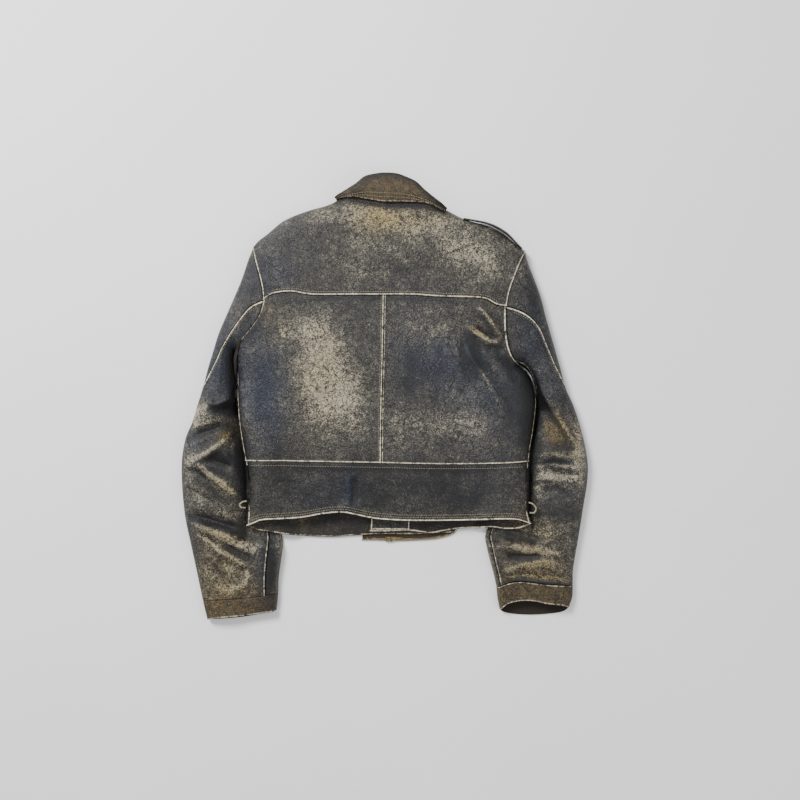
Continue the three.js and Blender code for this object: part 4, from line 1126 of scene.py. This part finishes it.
# %% The inside, the tape and the metal
def inside_leather():
    s = Shader("inside_hide", 0.9)
    nap = s.noise(700, 3, 0.7)
    s.colour(s.mixed("15110d", "2e2720", s.noise(40, 4, 0.6) * 0.7 + nap * 0.3))
    s.bump(nap, strength=0.4, distance=0.0005)
    return s.material


def strap_leather():
    s = Shader("strap_leather", 0.55)
    worn = (s.noise(300, 3, 0.7) * 0.6 + s.noise(60, 3) * 0.5).eased(0.55, 0.75)
    s.colour(s.mixed("0a0a0b", "5d594f", worn * 0.5))
    s.bump(s.cells(700), strength=0.3, distance=0.0005)
    return s.material


def woven_tape():
    s = Shader("zip_tape_cloth", 0.92)
    weave = s.cells(900, place=s.stretched((1, 2, 1)))
    s.colour(s.mixed("120e0a", "3d3124", (weave * 0.7 + s.noise(120, 3) * 0.4).clipped()))
    s.bump(weave, strength=0.5, distance=0.0005)
    return s.material


def old_metal():
    s = Shader("old_brass", 0.42, 1.0)
    tarnish = s.noise(260, 4, 0.7).eased(0.4, 0.65)
    s.colour(s.mixed("9a8a66", "3f3629", tarnish))
    s.roughness(0.3 + tarnish * 0.35)
    s.bump(s.noise(900, 2), strength=0.2, distance=0.0003)
    return s.material


INSIDE = inside_leather()
STRAP = strap_leather()
TAPE = woven_tape()
METAL = old_metal()
print("materials", [m.name for m in bpy.data.materials][-9:])

# %% [markdown]
# ## The back
# A jacket's back is a yoke over two panels with a seam between them, and a waistband below. They could
# be modelled one by one and fitted together. Here all four are cut from one form by their own outlines,
# so their seams meet, and beside the armholes that form passes into the one that the sleeves' heads have.

# %% The back's surface
FLAT_BORDER = 14
ARMHOLE_BLEND = 18
ARMHOLES = segments([side[name] for side in (LEFT, RIGHT) for name in ("armhole_high", "armhole_low")])
OUTLINE = ("shoulder", "outer", "inner", "side")
ALL_EDGES = segments([c for side in (LEFT, RIGHT) for name in OUTLINE for c in side["edges"][name]])


def armhole_top(x, y):
    crest = BACK_CREST + BACK_FOLDS(x, y)
    return EDGE_HEIGHT + crest * turned(distance_to(ALL_EDGES, x, y), TOP_ROLL)


def back_surface(plan):
    x, y = plan[..., 0], plan[..., 1]
    inside = ease(distance_to(BODY_EDGES, x, y), 2, FLAT_BORDER)
    height = mix(armhole_top(x, y), body_top(x, y), ease(distance_to(ARMHOLES, x, y), 0, ARMHOLE_BLEND))
    return np.dstack([x, y, height + FINE_BACK(x, y) * inside])


# %% Yoke, back panels and waistband
NECK_ENDS = (0.3, 0.72)
WAIST_MIDDLE = 0.48


def yoke_grid():
    plan = patch(
        low=route([YOKE_LEFT, YOKE_RIGHT], [0.5, 1]),
        high=route([LEFT["shoulder"], NECK_SEAM, back(RIGHT["shoulder"])], [*NECK_ENDS, 1]),
        left=route([back(LEFT["armhole_high"])]),
        right=route([back(RIGHT["armhole_high"])]),
        across=spread(470),
        up=spread(160),
    )
    return back_surface(plan)


UNDERARM_AT = 0.66


def back_grid(side, waist, yoke_seam):
    edge = route([back(side["side_high"]), back(side["armhole_low"])], [UNDERARM_AT, 1])
    centre = route([CENTRE_SEAM])
    left, right = (edge, centre) if side is LEFT else (centre, edge)
    return back_surface(patch(route([waist]), route([yoke_seam]), left, right, spread(235), spread(275)))


def waistband_grid():
    plan = patch(
        low=route([BACK_HEM]),
        high=route([WAIST_LEFT, WAIST_RIGHT], [WAIST_MIDDLE, 1]),
        left=route([back(LEFT["side_low"])]),
        right=route([back(RIGHT["side_low"])]),
        across=spread(485),
        up=spread(100),
    )
    return back_surface(plan)


BOTH_FRONTS = ["front_left", "front_right"]
HEM_WEAR = (1.0, 2.2)
SIDE_WEAR = (0.9, 4.5)
BACK_SIDE_WEAR = (0.9, 3.4)
BACK_PANELS = [
    ("yoke_panel", yoke_grid(), "back_yoke",
     {"low": 1.0, "left": 0.9, "right": 0.9, "high": 0.3}, BOTH_FRONTS),
    ("left_back_panel", back_grid(LEFT, WAIST_LEFT, YOKE_LEFT), "back_left",
     {"low": 0.9, "high": 0.0, "left": BACK_SIDE_WEAR, "right": 0.8}, ["front_left"]),
    ("right_back_panel", back_grid(RIGHT, WAIST_RIGHT, YOKE_RIGHT), "back_right",
     {"low": 0.9, "high": 0.0, "left": 0.5, "right": BACK_SIDE_WEAR}, ["front_right"]),
    ("waist_panel", waistband_grid(), "waistband",
     {"low": HEM_WEAR, "high": 0.0, "left": SIDE_WEAR, "right": SIDE_WEAR}, BOTH_FRONTS),
]
for name, grid, node, seams, lies_on in BACK_PANELS:
    made = panel(name, grid, node, BODY, seams=seams, lies_on=lies_on)
    print(name, len(made.data.polygons) * 2, "triangles", np.round(PANELS[name], 3))

# %% [markdown]
# ## The fronts
# They lie under the back, one lapped over the other, and only their lower edges show through the
# gaping hem. A flat sheet would do for the view, but a jacket is hollow, so the fronts turn up at their
# sides and meet the back there. They are as plain as the photograph leaves them.

# %% Ground under each front
LAPEL_LIFT = 2.2
OVERLAP_LIFT = 4.4
MIDDLE_X = 8
LAPEL_FADE = (130, 180)
OVERLAP_FADE = (FRONT_EDGE_X + 30, FRONT_EDGE_X + 70)


def lapel_lift(x):
    return LAPEL_LIFT * (1 - ease(np.abs(x - MIDDLE_X), *LAPEL_FADE))


def under_left(x, y):
    return np.maximum(lapel_lift(x), body_lift(x, y))


def under_right(x, y):
    overlap = mix(OVERLAP_LIFT, lapel_lift(x), ease(x, *OVERLAP_FADE))
    return np.maximum(overlap, body_lift(x, y))


print("the upper front is lifted by", height_at(under_right, 0, 0), "mm where the two overlap")

# %% The two fronts
SIDE_LINES = ("side_low", "side_high", "armhole_low", "armhole_high")
SIDE_ENDS = (0.18, 0.52, 0.76, 1)


def front_grid(side, hem, front_edge, ground):
    edge = route([back(side[k]) for k in SIDE_LINES], SIDE_ENDS)
    front = route([front_edge])
    is_left = side is LEFT
    shoulder = side["shoulder"] if is_left else back(side["shoulder"])
    left, right = (edge, front) if is_left else (front, edge)
    across = spread(350 if is_left else 260, HIDDEN_STEP)
    plan = patch(route([hem]), route([shoulder]), left, right, across, spread(520, HIDDEN_STEP))
    x, y = plan[..., 0], plan[..., 1]
    return np.dstack([x, y, body_under(ground)(x, y)])


FRONT_PANELS = [
    ("left_front_panel", front_grid(LEFT, FRONT_HEM_LEFT, FRONT_EDGE_LEFT, under_left), "front_left",
     {"low": 0.5}, ["left_top_sleeve"]),
    ("right_front_panel", front_grid(RIGHT, FRONT_HEM_RIGHT, FRONT_EDGE_RIGHT, under_right),
     "front_right", {"low": 0.9}, ["front_left", "right_top_sleeve"]),
]
for name, grid, node, seams, lies_on in FRONT_PANELS:
    panel(name, grid, node, BODY,
          faces=-1, seams=seams, inside=LINING_LEATHER, lies_on=lies_on)
    print(name, np.round(PANELS[name], 3))

# %% The patch sewn on the lower corner of the right front
PATCH_LOW = (-24, -221)
PATCH_HIGH = (41, -150)
THIN_LEATHER = 1.3


def patch_grid():
    width, height = np.subtract(PATCH_HIGH, PATCH_LOW)
    across, up = spread(width, 2), spread(height, 4)
    x = np.tile(mix(PATCH_LOW[0], PATCH_HIGH[0], across), (len(up), 1))
    y = np.repeat(mix(PATCH_LOW[1], PATCH_HIGH[1], up)[:, None], len(across), axis=1)
    lift = LEATHER + SEAM_GAP + THIN_LEATHER
    return np.dstack([x, y, body_under(under_right)(x, y) + lift])


panel("corner_patch", patch_grid(), "corner_facing", BODY, thickness=THIN_LEATHER,
      seams={"low": 1, "left": 1, "right": 1, "high": 0.5}, lies_on=["front_right"])
print("corner patch", np.round(PANELS["corner_patch"], 3))

# %% [markdown]
# ## The sleeves
# Each sleeve has two pieces, and both their seams wander round the arm. A plain tube cut in two along
# its sides would put the seams at its edges. Here a ring number counts round the sleeve instead: 0 is
# its outer edge, 1 its inner edge over the upper face, and -1 the inner edge by way of the face that
# lies down. A seam is then a line of ring numbers that drifts as it runs down the arm.

# %% Rings and seams of a sleeve
BACK_SEAM_END = 0.42
BACK_SEAM_WRAP = 0.035
BACK_SEAM_TURN = (0.27, 0.62)
INNER_SEAM_DRIFT = (0.1, 1)
INNER_SEAM_START = 0.035
BOW_FADE = 10
HEAD_FADE = BOW_FADE + 4
SEAM_SPREAD = 150
SLEEVE_LENGTH = 600
HEAD_BLEND = 24


def back_seam(along):
    across = 0.5 * (1 - np.minimum(1, along / BACK_SEAM_END))
    return across - BACK_SEAM_WRAP * ease(along, *BACK_SEAM_TURN)


def inner_seam(side, along):
    return 1 - mix(INNER_SEAM_START, side["inner_seam_at_cuff"], ease(along, *INNER_SEAM_DRIFT))


def sleeve_plan(side):
    outer, inner = route([side["outer"]]), route([side["inner"]])
    armhole = route([side["armhole_high"], side["armhole_low"]], [0.5, 1])
    cuff = route([side["cuff_seam"]])

    def bow(curve, share):
        ends = curve(np.array([0.0, 1.0]))
        return curve(share) - mix(ends[0], ends[1], share[..., None])

    def away(share):
        way = armhole(np.minimum(1, share + 0.01)) - armhole(np.maximum(0, share - 0.01))
        way /= np.linalg.norm(way, axis=-1, keepdims=True)
        weight = np.minimum(1, np.minimum(4 * share, 8 * (1 - share)))[..., None]
        return np.stack([-way[..., 1], way[..., 0]], axis=-1) * side["outwards"] * weight

    def at(along, share):
        a = along[..., None]
        plan = mix(outer(along), inner(along), share[..., None])
        plan = plan + away(share) * SEAM_SPREAD * a * (1 - a) ** HEAD_FADE
        return plan + bow(armhole, share) * (1 - a) ** BOW_FADE + bow(cuff, share) * a**BOW_FADE

    return at


def ring_grid(side, top, under, fine, along, rings):
    """Places on a sleeve for every share down the arm and every ring number."""
    is_up = (rings >= 0) | (rings < -1)
    share = np.clip(np.where(rings < -1, rings + 2, np.abs(rings)), 0, 1)
    plan = sleeve_plan(side)(along, share)
    x, y = plan[..., 0], plan[..., 1]
    from_seam = ease(along * SLEEVE_LENGTH, 0, HEAD_BLEND)
    edges = segments([c for k in ("shoulder", "outer", "inner") for c in side["edges"][k]])
    inside = ease(distance_to(edges, x, y), 2, FLAT_BORDER)
    high = mix(armhole_top(x, y), top(x, y) + fine(x, y) * inside, from_seam)
    head = EDGE_HEIGHT * (1 - turned(distance_to(ALL_EDGES, x, y), UNDER_ROLL))
    low = mix(head, under(x, y), from_seam)
    return np.dstack([x, y, np.where(is_up, high, low)])


# %% The under piece and the top piece
WRAP_MARGIN = 0.03
TURN_MARGIN = 0.06


def under_rings(side, along):
    start, end = back_seam(along), inner_seam(side, along)
    after = np.maximum(0, start + WRAP_MARGIN)
    wrapped = mix(start, after, np.array([0, 0.25, 0.5, 0.75]))
    return np.hstack([wrapped, mix(after, end, spread(165)[None, :])])


def top_rings(side, along):
    start, end = inner_seam(side, along) - 2, back_seam(along)
    turn = np.minimum(0, end - TURN_MARGIN)
    strip = mix(start, -1, np.linspace(0, 1, 8)[:-1])
    down = mix(-1, turn, spread(150, HIDDEN_STEP)[None, :])
    up = mix(turn, end, np.linspace(0, 1, 34)[None, 1:] ** 0.9)
    return np.hstack([strip, down, up])


def sleeve(side, name, top, under, fine):
    along = spread(SLEEVE_LENGTH, 3.2)[:, None]
    for kind, rings, faces, seams in (
        ("under", under_rings(side, along), 1, {"left": 1.3, "right": 0.6, "low": 0.0, "high": 0.1}),
        ("top", top_rings(side, along), -1, {"left": 0.0, "right": 0.0, "low": 0.0, "high": 0.1}),
    ):
        rows = np.repeat(along, rings.shape[1], axis=1)
        grid = ring_grid(side, top, under, fine, rows, rings)
        node = f"{name}_{kind}_sleeve"
        lies_on = [f"{name}_top_sleeve"] if kind == "under" else ["floor"]
        made = panel(f"{name}_{kind}_sleeve_panel", grid, node, SLEEVE,
                     faces=faces, seams=seams, lies_on=lies_on)
        print(node, grid.shape, np.round(PANELS[made.name], 3))


sleeve(LEFT, "left", LEFT_TOP, LEFT_UNDER, FINE_LEFT)
sleeve(RIGHT, "right", RIGHT_TOP, RIGHT_UNDER, FINE_RIGHT)

# %% Cuffs
def cuff(side, name, top, under, seam_wear):
    for kind, end, faces in (("upper", "cuff_top", 1), ("lower", "cuff_under", -1)):
        across, up = spread(125), spread(40, 2)
        plan = patch(route([side["cuff_seam"]]), route([side[end]]), route([side["outer_cuff"]]),
                     route([side["inner_cuff"]]), across, up)
        x, y = plan[..., 0], plan[..., 1]
        height = top(x, y) if kind == "upper" else under(x, y)
        node = f"{name}_cuff_{kind}"
        lies_on = [f"{name}_cuff_lower"] if kind == "upper" else ["floor"]
        panel(f"{name}_{kind}_cuff_band", np.dstack([x, y, height]), node, CUFF,
              faces=faces, seams={"low": seam_wear, "high": 0.6}, lies_on=lies_on)


cuff(LEFT, "left", LEFT_TOP, LEFT_UNDER, 0.1)
cuff(RIGHT, "right", RIGHT_TOP, RIGHT_UNDER, 0.5)
print("cuffs", [(k, np.round(v, 3).tolist()) for k, v in PANELS.items() if "cuff" in k])

# %% [markdown]
# ## The collar
# The stand rises from the neck seam, turns over at the fold, and the leaf lies back on the yoke. A flat
# piece could be bent over by a modifier, but the fold's line is curved. So one grid follows the
# section from the seam over the fold to the leaf's edge, all the way round the neck.

# %% The folded collar
FOLD_RADIUS = LEATHER + 1.5
COLLAR_TIP = 0.03
LEAF_BOW = 1.2
STAND_ROWS = 12
TURN_ROWS = 15
LEAF_ROWS = 22


def collar_grid():
    share = mix(COLLAR_TIP, 1 - COLLAR_TIP, spread(230, 2.2))
    n, f, e = route([NECK_SEAM])(share), route([COLLAR_FOLD])(share), route([COLLAR_EDGE])(share)
    low = body_top(n[:, 0], n[:, 1]) - LEATHER
    to_fold = f - n
    length = np.linalg.norm(to_fold, axis=1, keepdims=True)
    way = to_fold / length
    turn_from = f - way * np.minimum(FOLD_RADIUS, length * 0.6)
    start = n + way * SEAM_GAP
    rest = body_top(e[:, 0], e[:, 1]) + LEATHER + 2 * SEAM_GAP
    rows = []
    for s in np.linspace(0, 1, STAND_ROWS)[:-1]:
        rows.append(np.column_stack([mix(start, turn_from, s), low]))
    for angle in np.linspace(0, np.pi, TURN_ROWS):
        rise = low + FOLD_RADIUS * (1 - np.cos(angle))
        rows.append(np.column_stack([turn_from + way * np.sin(angle) * FOLD_RADIUS, rise]))
    for s in np.linspace(0, 1, LEAF_ROWS)[1:]:
        rise = mix(low + 2 * FOLD_RADIUS, rest, s * s) + LEAF_BOW * np.sin(np.pi * s)
        rows.append(np.column_stack([mix(turn_from, e, s), rise]))
    lining = np.array(rows)
    return (lining - facing(lining, 0) * LEATHER)[:, ::-1]


panel("collar_panel", collar_grid(), "collar", COLLAR, faces=0,
      seams={"high": 0.5}, lies_on=["yoke_panel"])
print("collar", np.round(PANELS["collar_panel"], 3))

# %% [markdown]
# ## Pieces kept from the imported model
# The lapels, the straps, the zip's tape and its slider already have their shape. They could be made
# again with more faces, but they are hidden or small, so they take a material only.

# %% Materials of the kept pieces
KEPT = {
    "left_lapel": SLEEVE, "right_lapel": SLEEVE, "right_epaulette": STRAP,
    "left_side_strap": STRAP, "right_side_strap": STRAP, "zip_tape": TAPE, "zip_slider": METAL,
}
for node, material in KEPT.items():
    solid = bpy.data.objects[node]
    solid.data.materials.clear()
    solid.data.materials.append(material)
print("kept", list(KEPT))

# %% [markdown]
# ## The loops at the straps' ends
# Each side strap ends in a small leather loop that stands out past the waistband. A curve with a round
# bevel would give it. It is written as rings along a short route here, which gives its few faces
# directly, with the route given in millimetres.

# %% Quads round a tube
def tube_faces(rings, sides):
    """Quads between rings of vertices, and a cap at each end."""
    faces = [tuple(range(sides))[::-1], tuple(range((rings - 1) * sides, rings * sides))]
    for k in range(rings - 1):
        for j in range(sides):
            a, b = k * sides + j, k * sides + (j + 1) % sides
            faces.append((a, b, b + sides, a + sides))
    return faces


print("a tube of 3 rings of 8 has", len(tube_faces(3, 8)), "faces")

# %% Two small loops
LOOP_RADIUS = 1.3
LEFT_LOOP = [(-227, -171, 29), (-233, -172, 30), (-238, -176, 30), (-236, -181, 29), (-229, -182, 27)]
RIGHT_LOOP = [(236, -173, 29), (243, -176, 30), (248, -183, 30), (245, -190, 29), (238, -190, 27)]


def rubbed_loop_leather():
    s = Shader("rubbed_loop_leather", 0.7)
    s.colour(s.mixed("29241d", "b0a587", s.noise(420, 3, 0.7).widened(2.0)))
    s.bump(s.cells(900), strength=0.3, distance=0.0004)
    return s.material


LOOP_LEATHER = rubbed_loop_leather()


def strap_loop(name, points, sides=8, steps=28):
    share = np.linspace(0, 1, steps)
    plan = route([[list(point[:2]) for point in points]])(share)
    height = np.interp(share, np.linspace(0, 1, len(points)), [point[2] for point in points])
    path = np.column_stack([plan, height])
    along = np.gradient(path, axis=0)
    aside = np.cross(along, (0, 0, 1))
    aside /= np.linalg.norm(aside, axis=1, keepdims=True)
    upward = np.cross(aside, along)
    upward /= np.linalg.norm(upward, axis=1, keepdims=True)
    rings = [path + LOOP_RADIUS * (aside * np.cos(t) + upward * np.sin(t))
             for t in np.linspace(0, 2 * np.pi, sides, endpoint=False)]
    faces = tube_faces(steps, sides)
    made = mesh_object(name, metres(np.stack(rings, axis=1).reshape(-1, 3)), faces, [LOOP_LEATHER])
    shape = bmesh.new()
    shape.from_mesh(made.data)
    bmesh.ops.recalc_face_normals(shape, faces=shape.faces)
    shape.to_mesh(made.data)
    shape.free()
    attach(made, "root")
    print(name, len(faces), "faces")


strap_loop("left_strap_loop", LEFT_LOOP)
strap_loop("right_strap_loop", RIGHT_LOOP)

# %% [markdown]
# ## Stitches and zip teeth
# Seams are held by rows of short stitches, and the zip's chain is a row of small metal teeth. An Array
# modifier on a curve would stretch them in the bends. Geometry Nodes sample the line at even steps and
# put one stitch or one tooth at each, turned along the line. The result becomes a plain mesh.

# %% The tree that repeats a piece
def repeating_tree(name, material):
    """A node tree that puts a piece at every step along the lines, turned along them."""
    group = bpy.data.node_groups.new(name, "GeometryNodeTree")
    face = group.interface
    face.new_socket("Lines", in_out="INPUT", socket_type="NodeSocketGeometry")
    face.new_socket("Piece", in_out="INPUT", socket_type="NodeSocketObject")
    face.new_socket("Spacing", in_out="INPUT", socket_type="NodeSocketFloat")
    face.new_socket("Result", in_out="OUTPUT", socket_type="NodeSocketGeometry")
    add, link = group.nodes.new, group.links.new
    given, result = add("NodeGroupInput"), add("NodeGroupOutput")
    curve, points = add("GeometryNodeMeshToCurve"), add("GeometryNodeCurveToPoints")
    points.mode = "LENGTH"
    align = add("FunctionNodeAlignRotationToVector")
    align.axis = "X"
    info, place = add("GeometryNodeObjectInfo"), add("GeometryNodeInstanceOnPoints")
    real, paint = add("GeometryNodeRealizeInstances"), add("GeometryNodeSetMaterial")
    paint.inputs["Material"].default_value = material
    link(given.outputs["Lines"], curve.inputs["Mesh"])
    link(curve.outputs["Curve"], points.inputs["Curve"])
    link(given.outputs["Spacing"], points.inputs["Length"])
    link(points.outputs["Tangent"], align.inputs["Vector"])
    link(given.outputs["Piece"], info.inputs["Object"])
    link(points.outputs["Points"], place.inputs["Points"])
    link(info.outputs["Geometry"], place.inputs["Instance"])
    link(align.outputs["Rotation"], place.inputs["Rotation"])
    link(place.outputs["Instances"], real.inputs["Geometry"])
    link(real.outputs["Geometry"], paint.inputs["Geometry"])
    link(paint.outputs["Geometry"], result.inputs["Result"])
    return group


def line_object(name, lines):
    """Every line as edges of one mesh."""
    edges, start = [], 0
    for line in lines:
        edges += [(start + k, start + k + 1) for k in range(len(line) - 1)]
        start += len(line)
    mesh = bpy.data.meshes.new(name)
    mesh.from_pydata([tuple(v) for v in np.vstack(lines)], edges, [])
    made = bpy.data.objects.new(name, mesh)
    bpy.context.scene.collection.objects.link(made)
    return made


# %% Repeats along a line
def repeat_along(name, lines, piece, spacing, material):
    """One plain mesh of a piece that is repeated along the lines; the piece itself is removed."""
    rail = line_object(name + "_lines", lines)
    group = repeating_tree(name + "_repeat", material)
    modifier = rail.modifiers.new("repeat", "NODES")
    modifier.node_group = group
    inputs = [item for item in group.interface.items_tree if item.in_out == "INPUT"]
    sockets = {item.name: item.identifier for item in inputs}
    modifier[sockets["Piece"]] = piece
    modifier[sockets["Spacing"]] = spacing
    bpy.context.view_layer.update()
    evaluated = rail.evaluated_get(bpy.context.evaluated_depsgraph_get())
    made = bpy.data.objects.new(name, bpy.data.meshes.new_from_object(evaluated))
    bpy.context.scene.collection.objects.link(made)
    for gone in (rail, piece):
        bpy.data.objects.remove(gone)
    bpy.data.node_groups.remove(group)
    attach(made, "root")
    print(name, len(made.data.polygons), "faces")


# %% A small rounded bar
def blunt(value, squareness):
    return np.sign(value) * abs(value) ** (1 / squareness)


def small_piece(name, half, rings=5, sides=8, squareness=1.0):
    """A small rounded bar along X with the given half sizes; a higher squareness makes it blockier."""
    turns = np.linspace(0, 2 * np.pi, sides, endpoint=False)
    vertices = []
    for k in range(rings):
        a = -np.pi / 2 + np.pi * (k + 0.5) / rings
        x, radius = blunt(np.sin(a), squareness), blunt(np.cos(a), squareness)
        for t in turns:
            y, z = blunt(np.cos(t), squareness), blunt(np.sin(t), squareness)
            vertices.append((x * half[0], radius * y * half[1], radius * z * half[2]))
    return mesh_object(name, vertices, tube_faces(rings, sides), [])


# %% Rows of stitches
STITCH_STEP = 4.0
COLLAR_ROWS = (4.5, 8.5)
SLEEVE_ROW = (0.02, 0.36, 0.035)
CLEAR_COLUMNS = 6
STITCH_RISE = 0.25
SLEEVE_STITCH_RISE = STITCH_RISE + 0.3


def offset_line(points, aside, keep, count=90):
    share = np.linspace(*keep, count)
    line = route([points])(share)
    way = np.gradient(line, axis=0)
    way /= np.linalg.norm(way, axis=1, keepdims=True)
    return line + np.column_stack([-way[:, 1], way[:, 0]]) * aside


def on_back(plan):
    points = back_surface(plan[:, None, :])[:, 0]
    points[:, 2] += STITCH_RISE
    return metres(points)


def on_sleeve(side, top, fine, low, high, aside):
    along = np.linspace(low, high, 120)[:, None]
    share = np.clip(back_seam(along) + aside, 0, 1)
    plan = sleeve_plan(side)(along, share)
    x, y = plan[..., 0], plan[..., 1]
    from_seam = ease(along * SLEEVE_LENGTH, 0, HEAD_BLEND)
    height = mix(armhole_top(x, y), top(x, y) + fine(x, y), from_seam)
    return metres(np.dstack([x, y, height + SLEEVE_STITCH_RISE])[:, 0])


STITCH_ROWS = (
    (WAIST_LEFT, -6.5, (0.05, 0.99)), (WAIST_RIGHT, -6.5, (0.01, 0.95)),
    (BACK_HEM, 6.5, (0.03, 0.97)), (BACK_HEM, 10.5, (0.03, 0.97)),
    (YOKE_LEFT, 6, (0.1, 0.99)), (YOKE_RIGHT, 6, (0.01, 0.9)),
    (CENTRE_SEAM, 5, (0.02, 0.98)),
)


def on_collar(aside):
    """A row of the collar's own surface, this far above the leaf's edge."""
    shape = collar_grid()
    steps = np.linalg.norm(shape[1:] - shape[:-1], axis=2).mean(1)
    from_edge = steps.sum() - np.concatenate([[0], np.cumsum(steps)])
    row = int(np.argmin(np.abs(from_edge - aside)))
    return metres(shape[row][CLEAR_COLUMNS:-CLEAR_COLUMNS] + (0, 0, STITCH_RISE))


rows = [on_back(offset_line(points, aside, keep)) for points, aside, keep in STITCH_ROWS]
rows += [on_collar(aside) for aside in COLLAR_ROWS]
rows.append(on_sleeve(LEFT, LEFT_TOP, FINE_LEFT, *SLEEVE_ROW))
rows.append(on_sleeve(RIGHT, RIGHT_TOP, FINE_RIGHT, *SLEEVE_ROW))


def thread():
    s = Shader("waxed_thread", 0.7)
    s.colour(s.mixed("6b6350", "a89c7e", s.noise(300, 2)))
    s.bump(s.noise(2500, 1), strength=0.3, distance=0.0002)
    return s.material


THREAD = thread()
stitch = small_piece("stitch", (0.0014, 0.00035, 0.0003))
repeat_along("seam_stitches", rows, stitch, STITCH_STEP / 1000, THREAD)

# %% Teeth of the zip
CHAIN = [
    [-38, -237], [-16, -237], [8, -238], [33, -238], [58, -237], [88, -234.5], [112, -227], [123.5, -209],
    [124.5, -180], [123.5, -100], [122.5, 0], [118.5, 80],
]
TOOTH_STEP = 3.0
TOOTH_LEVEL = 1.9
CHAIN_POINTS = 160
chain_plan = route([CHAIN])(np.linspace(0, 1, CHAIN_POINTS))
chain = np.column_stack([chain_plan, np.full(CHAIN_POINTS, TOOTH_LEVEL)])
tooth = small_piece("tooth", (0.00085, 0.0028, 0.0011), squareness=2.0)
repeat_along("zip_teeth", [metres(chain)], tooth, TOOTH_STEP / 1000, METAL)

# %% [markdown]
# ## Floor, light and camera
# The floor is a plain pale sheet. Daylight from a window is one large soft light above the upper left,
# with a weaker one opposite, so the shadow is short and falls to the lower right. The camera looks
# straight down, as the photograph was taken.

# %% Floor
def pale_floor():
    s = Shader("pale_floor", 0.9)
    s.colour(s.mixed("e2e2e3", "e8e8e8", s.noise(3, 2)))
    return s.material


FLOOR_HALF = 4
corners = [(FLOOR_HALF * a, FLOOR_HALF * b, 0) for a, b in ((-1, -1), (1, -1), (1, 1), (-1, 1))]
floor = mesh_object("floor", corners, [(0, 1, 2, 3)], [pale_floor()])
print("floor", 2 * FLOOR_HALF, "m wide")


# %% Lights
def soft_light(name, place, aim, size, power):
    lamp = bpy.data.lights.new(name, "AREA")
    lamp.shape = "DISK"
    lamp.size = size
    lamp.energy = power
    lamp_object = bpy.data.objects.new(name, lamp)
    bpy.context.scene.collection.objects.link(lamp_object)
    lamp_object.location = place
    way = np.array(aim) - np.array(place)
    lamp_object.rotation_euler = mathutils.Vector(way).to_track_quat("-Z", "Y").to_euler()


soft_light("window", place=(-1.3, 1.5, 1.9), aim=(0, 0, 0), size=1.0, power=125)
soft_light("fill", place=(1.6, -1.0, 1.9), aim=(0, 0, 0), size=1.8, power=16)
world = bpy.data.worlds.new("studio")
bpy.context.scene.world = world
world.use_nodes = True
sky = world.node_tree.nodes["Background"]
sky.inputs["Color"].default_value = (1.0, 1.0, 1.0, 1.0)
sky.inputs["Strength"].default_value = 0.8
print("lights", [lamp.name for lamp in bpy.data.lights])

# %% Camera
VIEW_MIDDLE = (24.75, -4.95)
VIEW_WIDTH = 1.32
CAMERA_HEIGHT = 1.708
CREST_LEVEL = 0.02
SENSOR_WIDTH = 36
camera_data = bpy.data.cameras.new("camera")
camera_data.sensor_width = SENSOR_WIDTH
camera_data.lens = SENSOR_WIDTH * (CAMERA_HEIGHT - CREST_LEVEL) / VIEW_WIDTH
camera = bpy.data.objects.new("camera", camera_data)
bpy.context.scene.collection.objects.link(camera)
camera.location = (*metres([*VIEW_MIDDLE])[:2], CAMERA_HEIGHT)
bpy.context.scene.camera = camera
print("camera at", np.round(camera.location, 3), "with a lens of", round(camera_data.lens, 1), "mm")
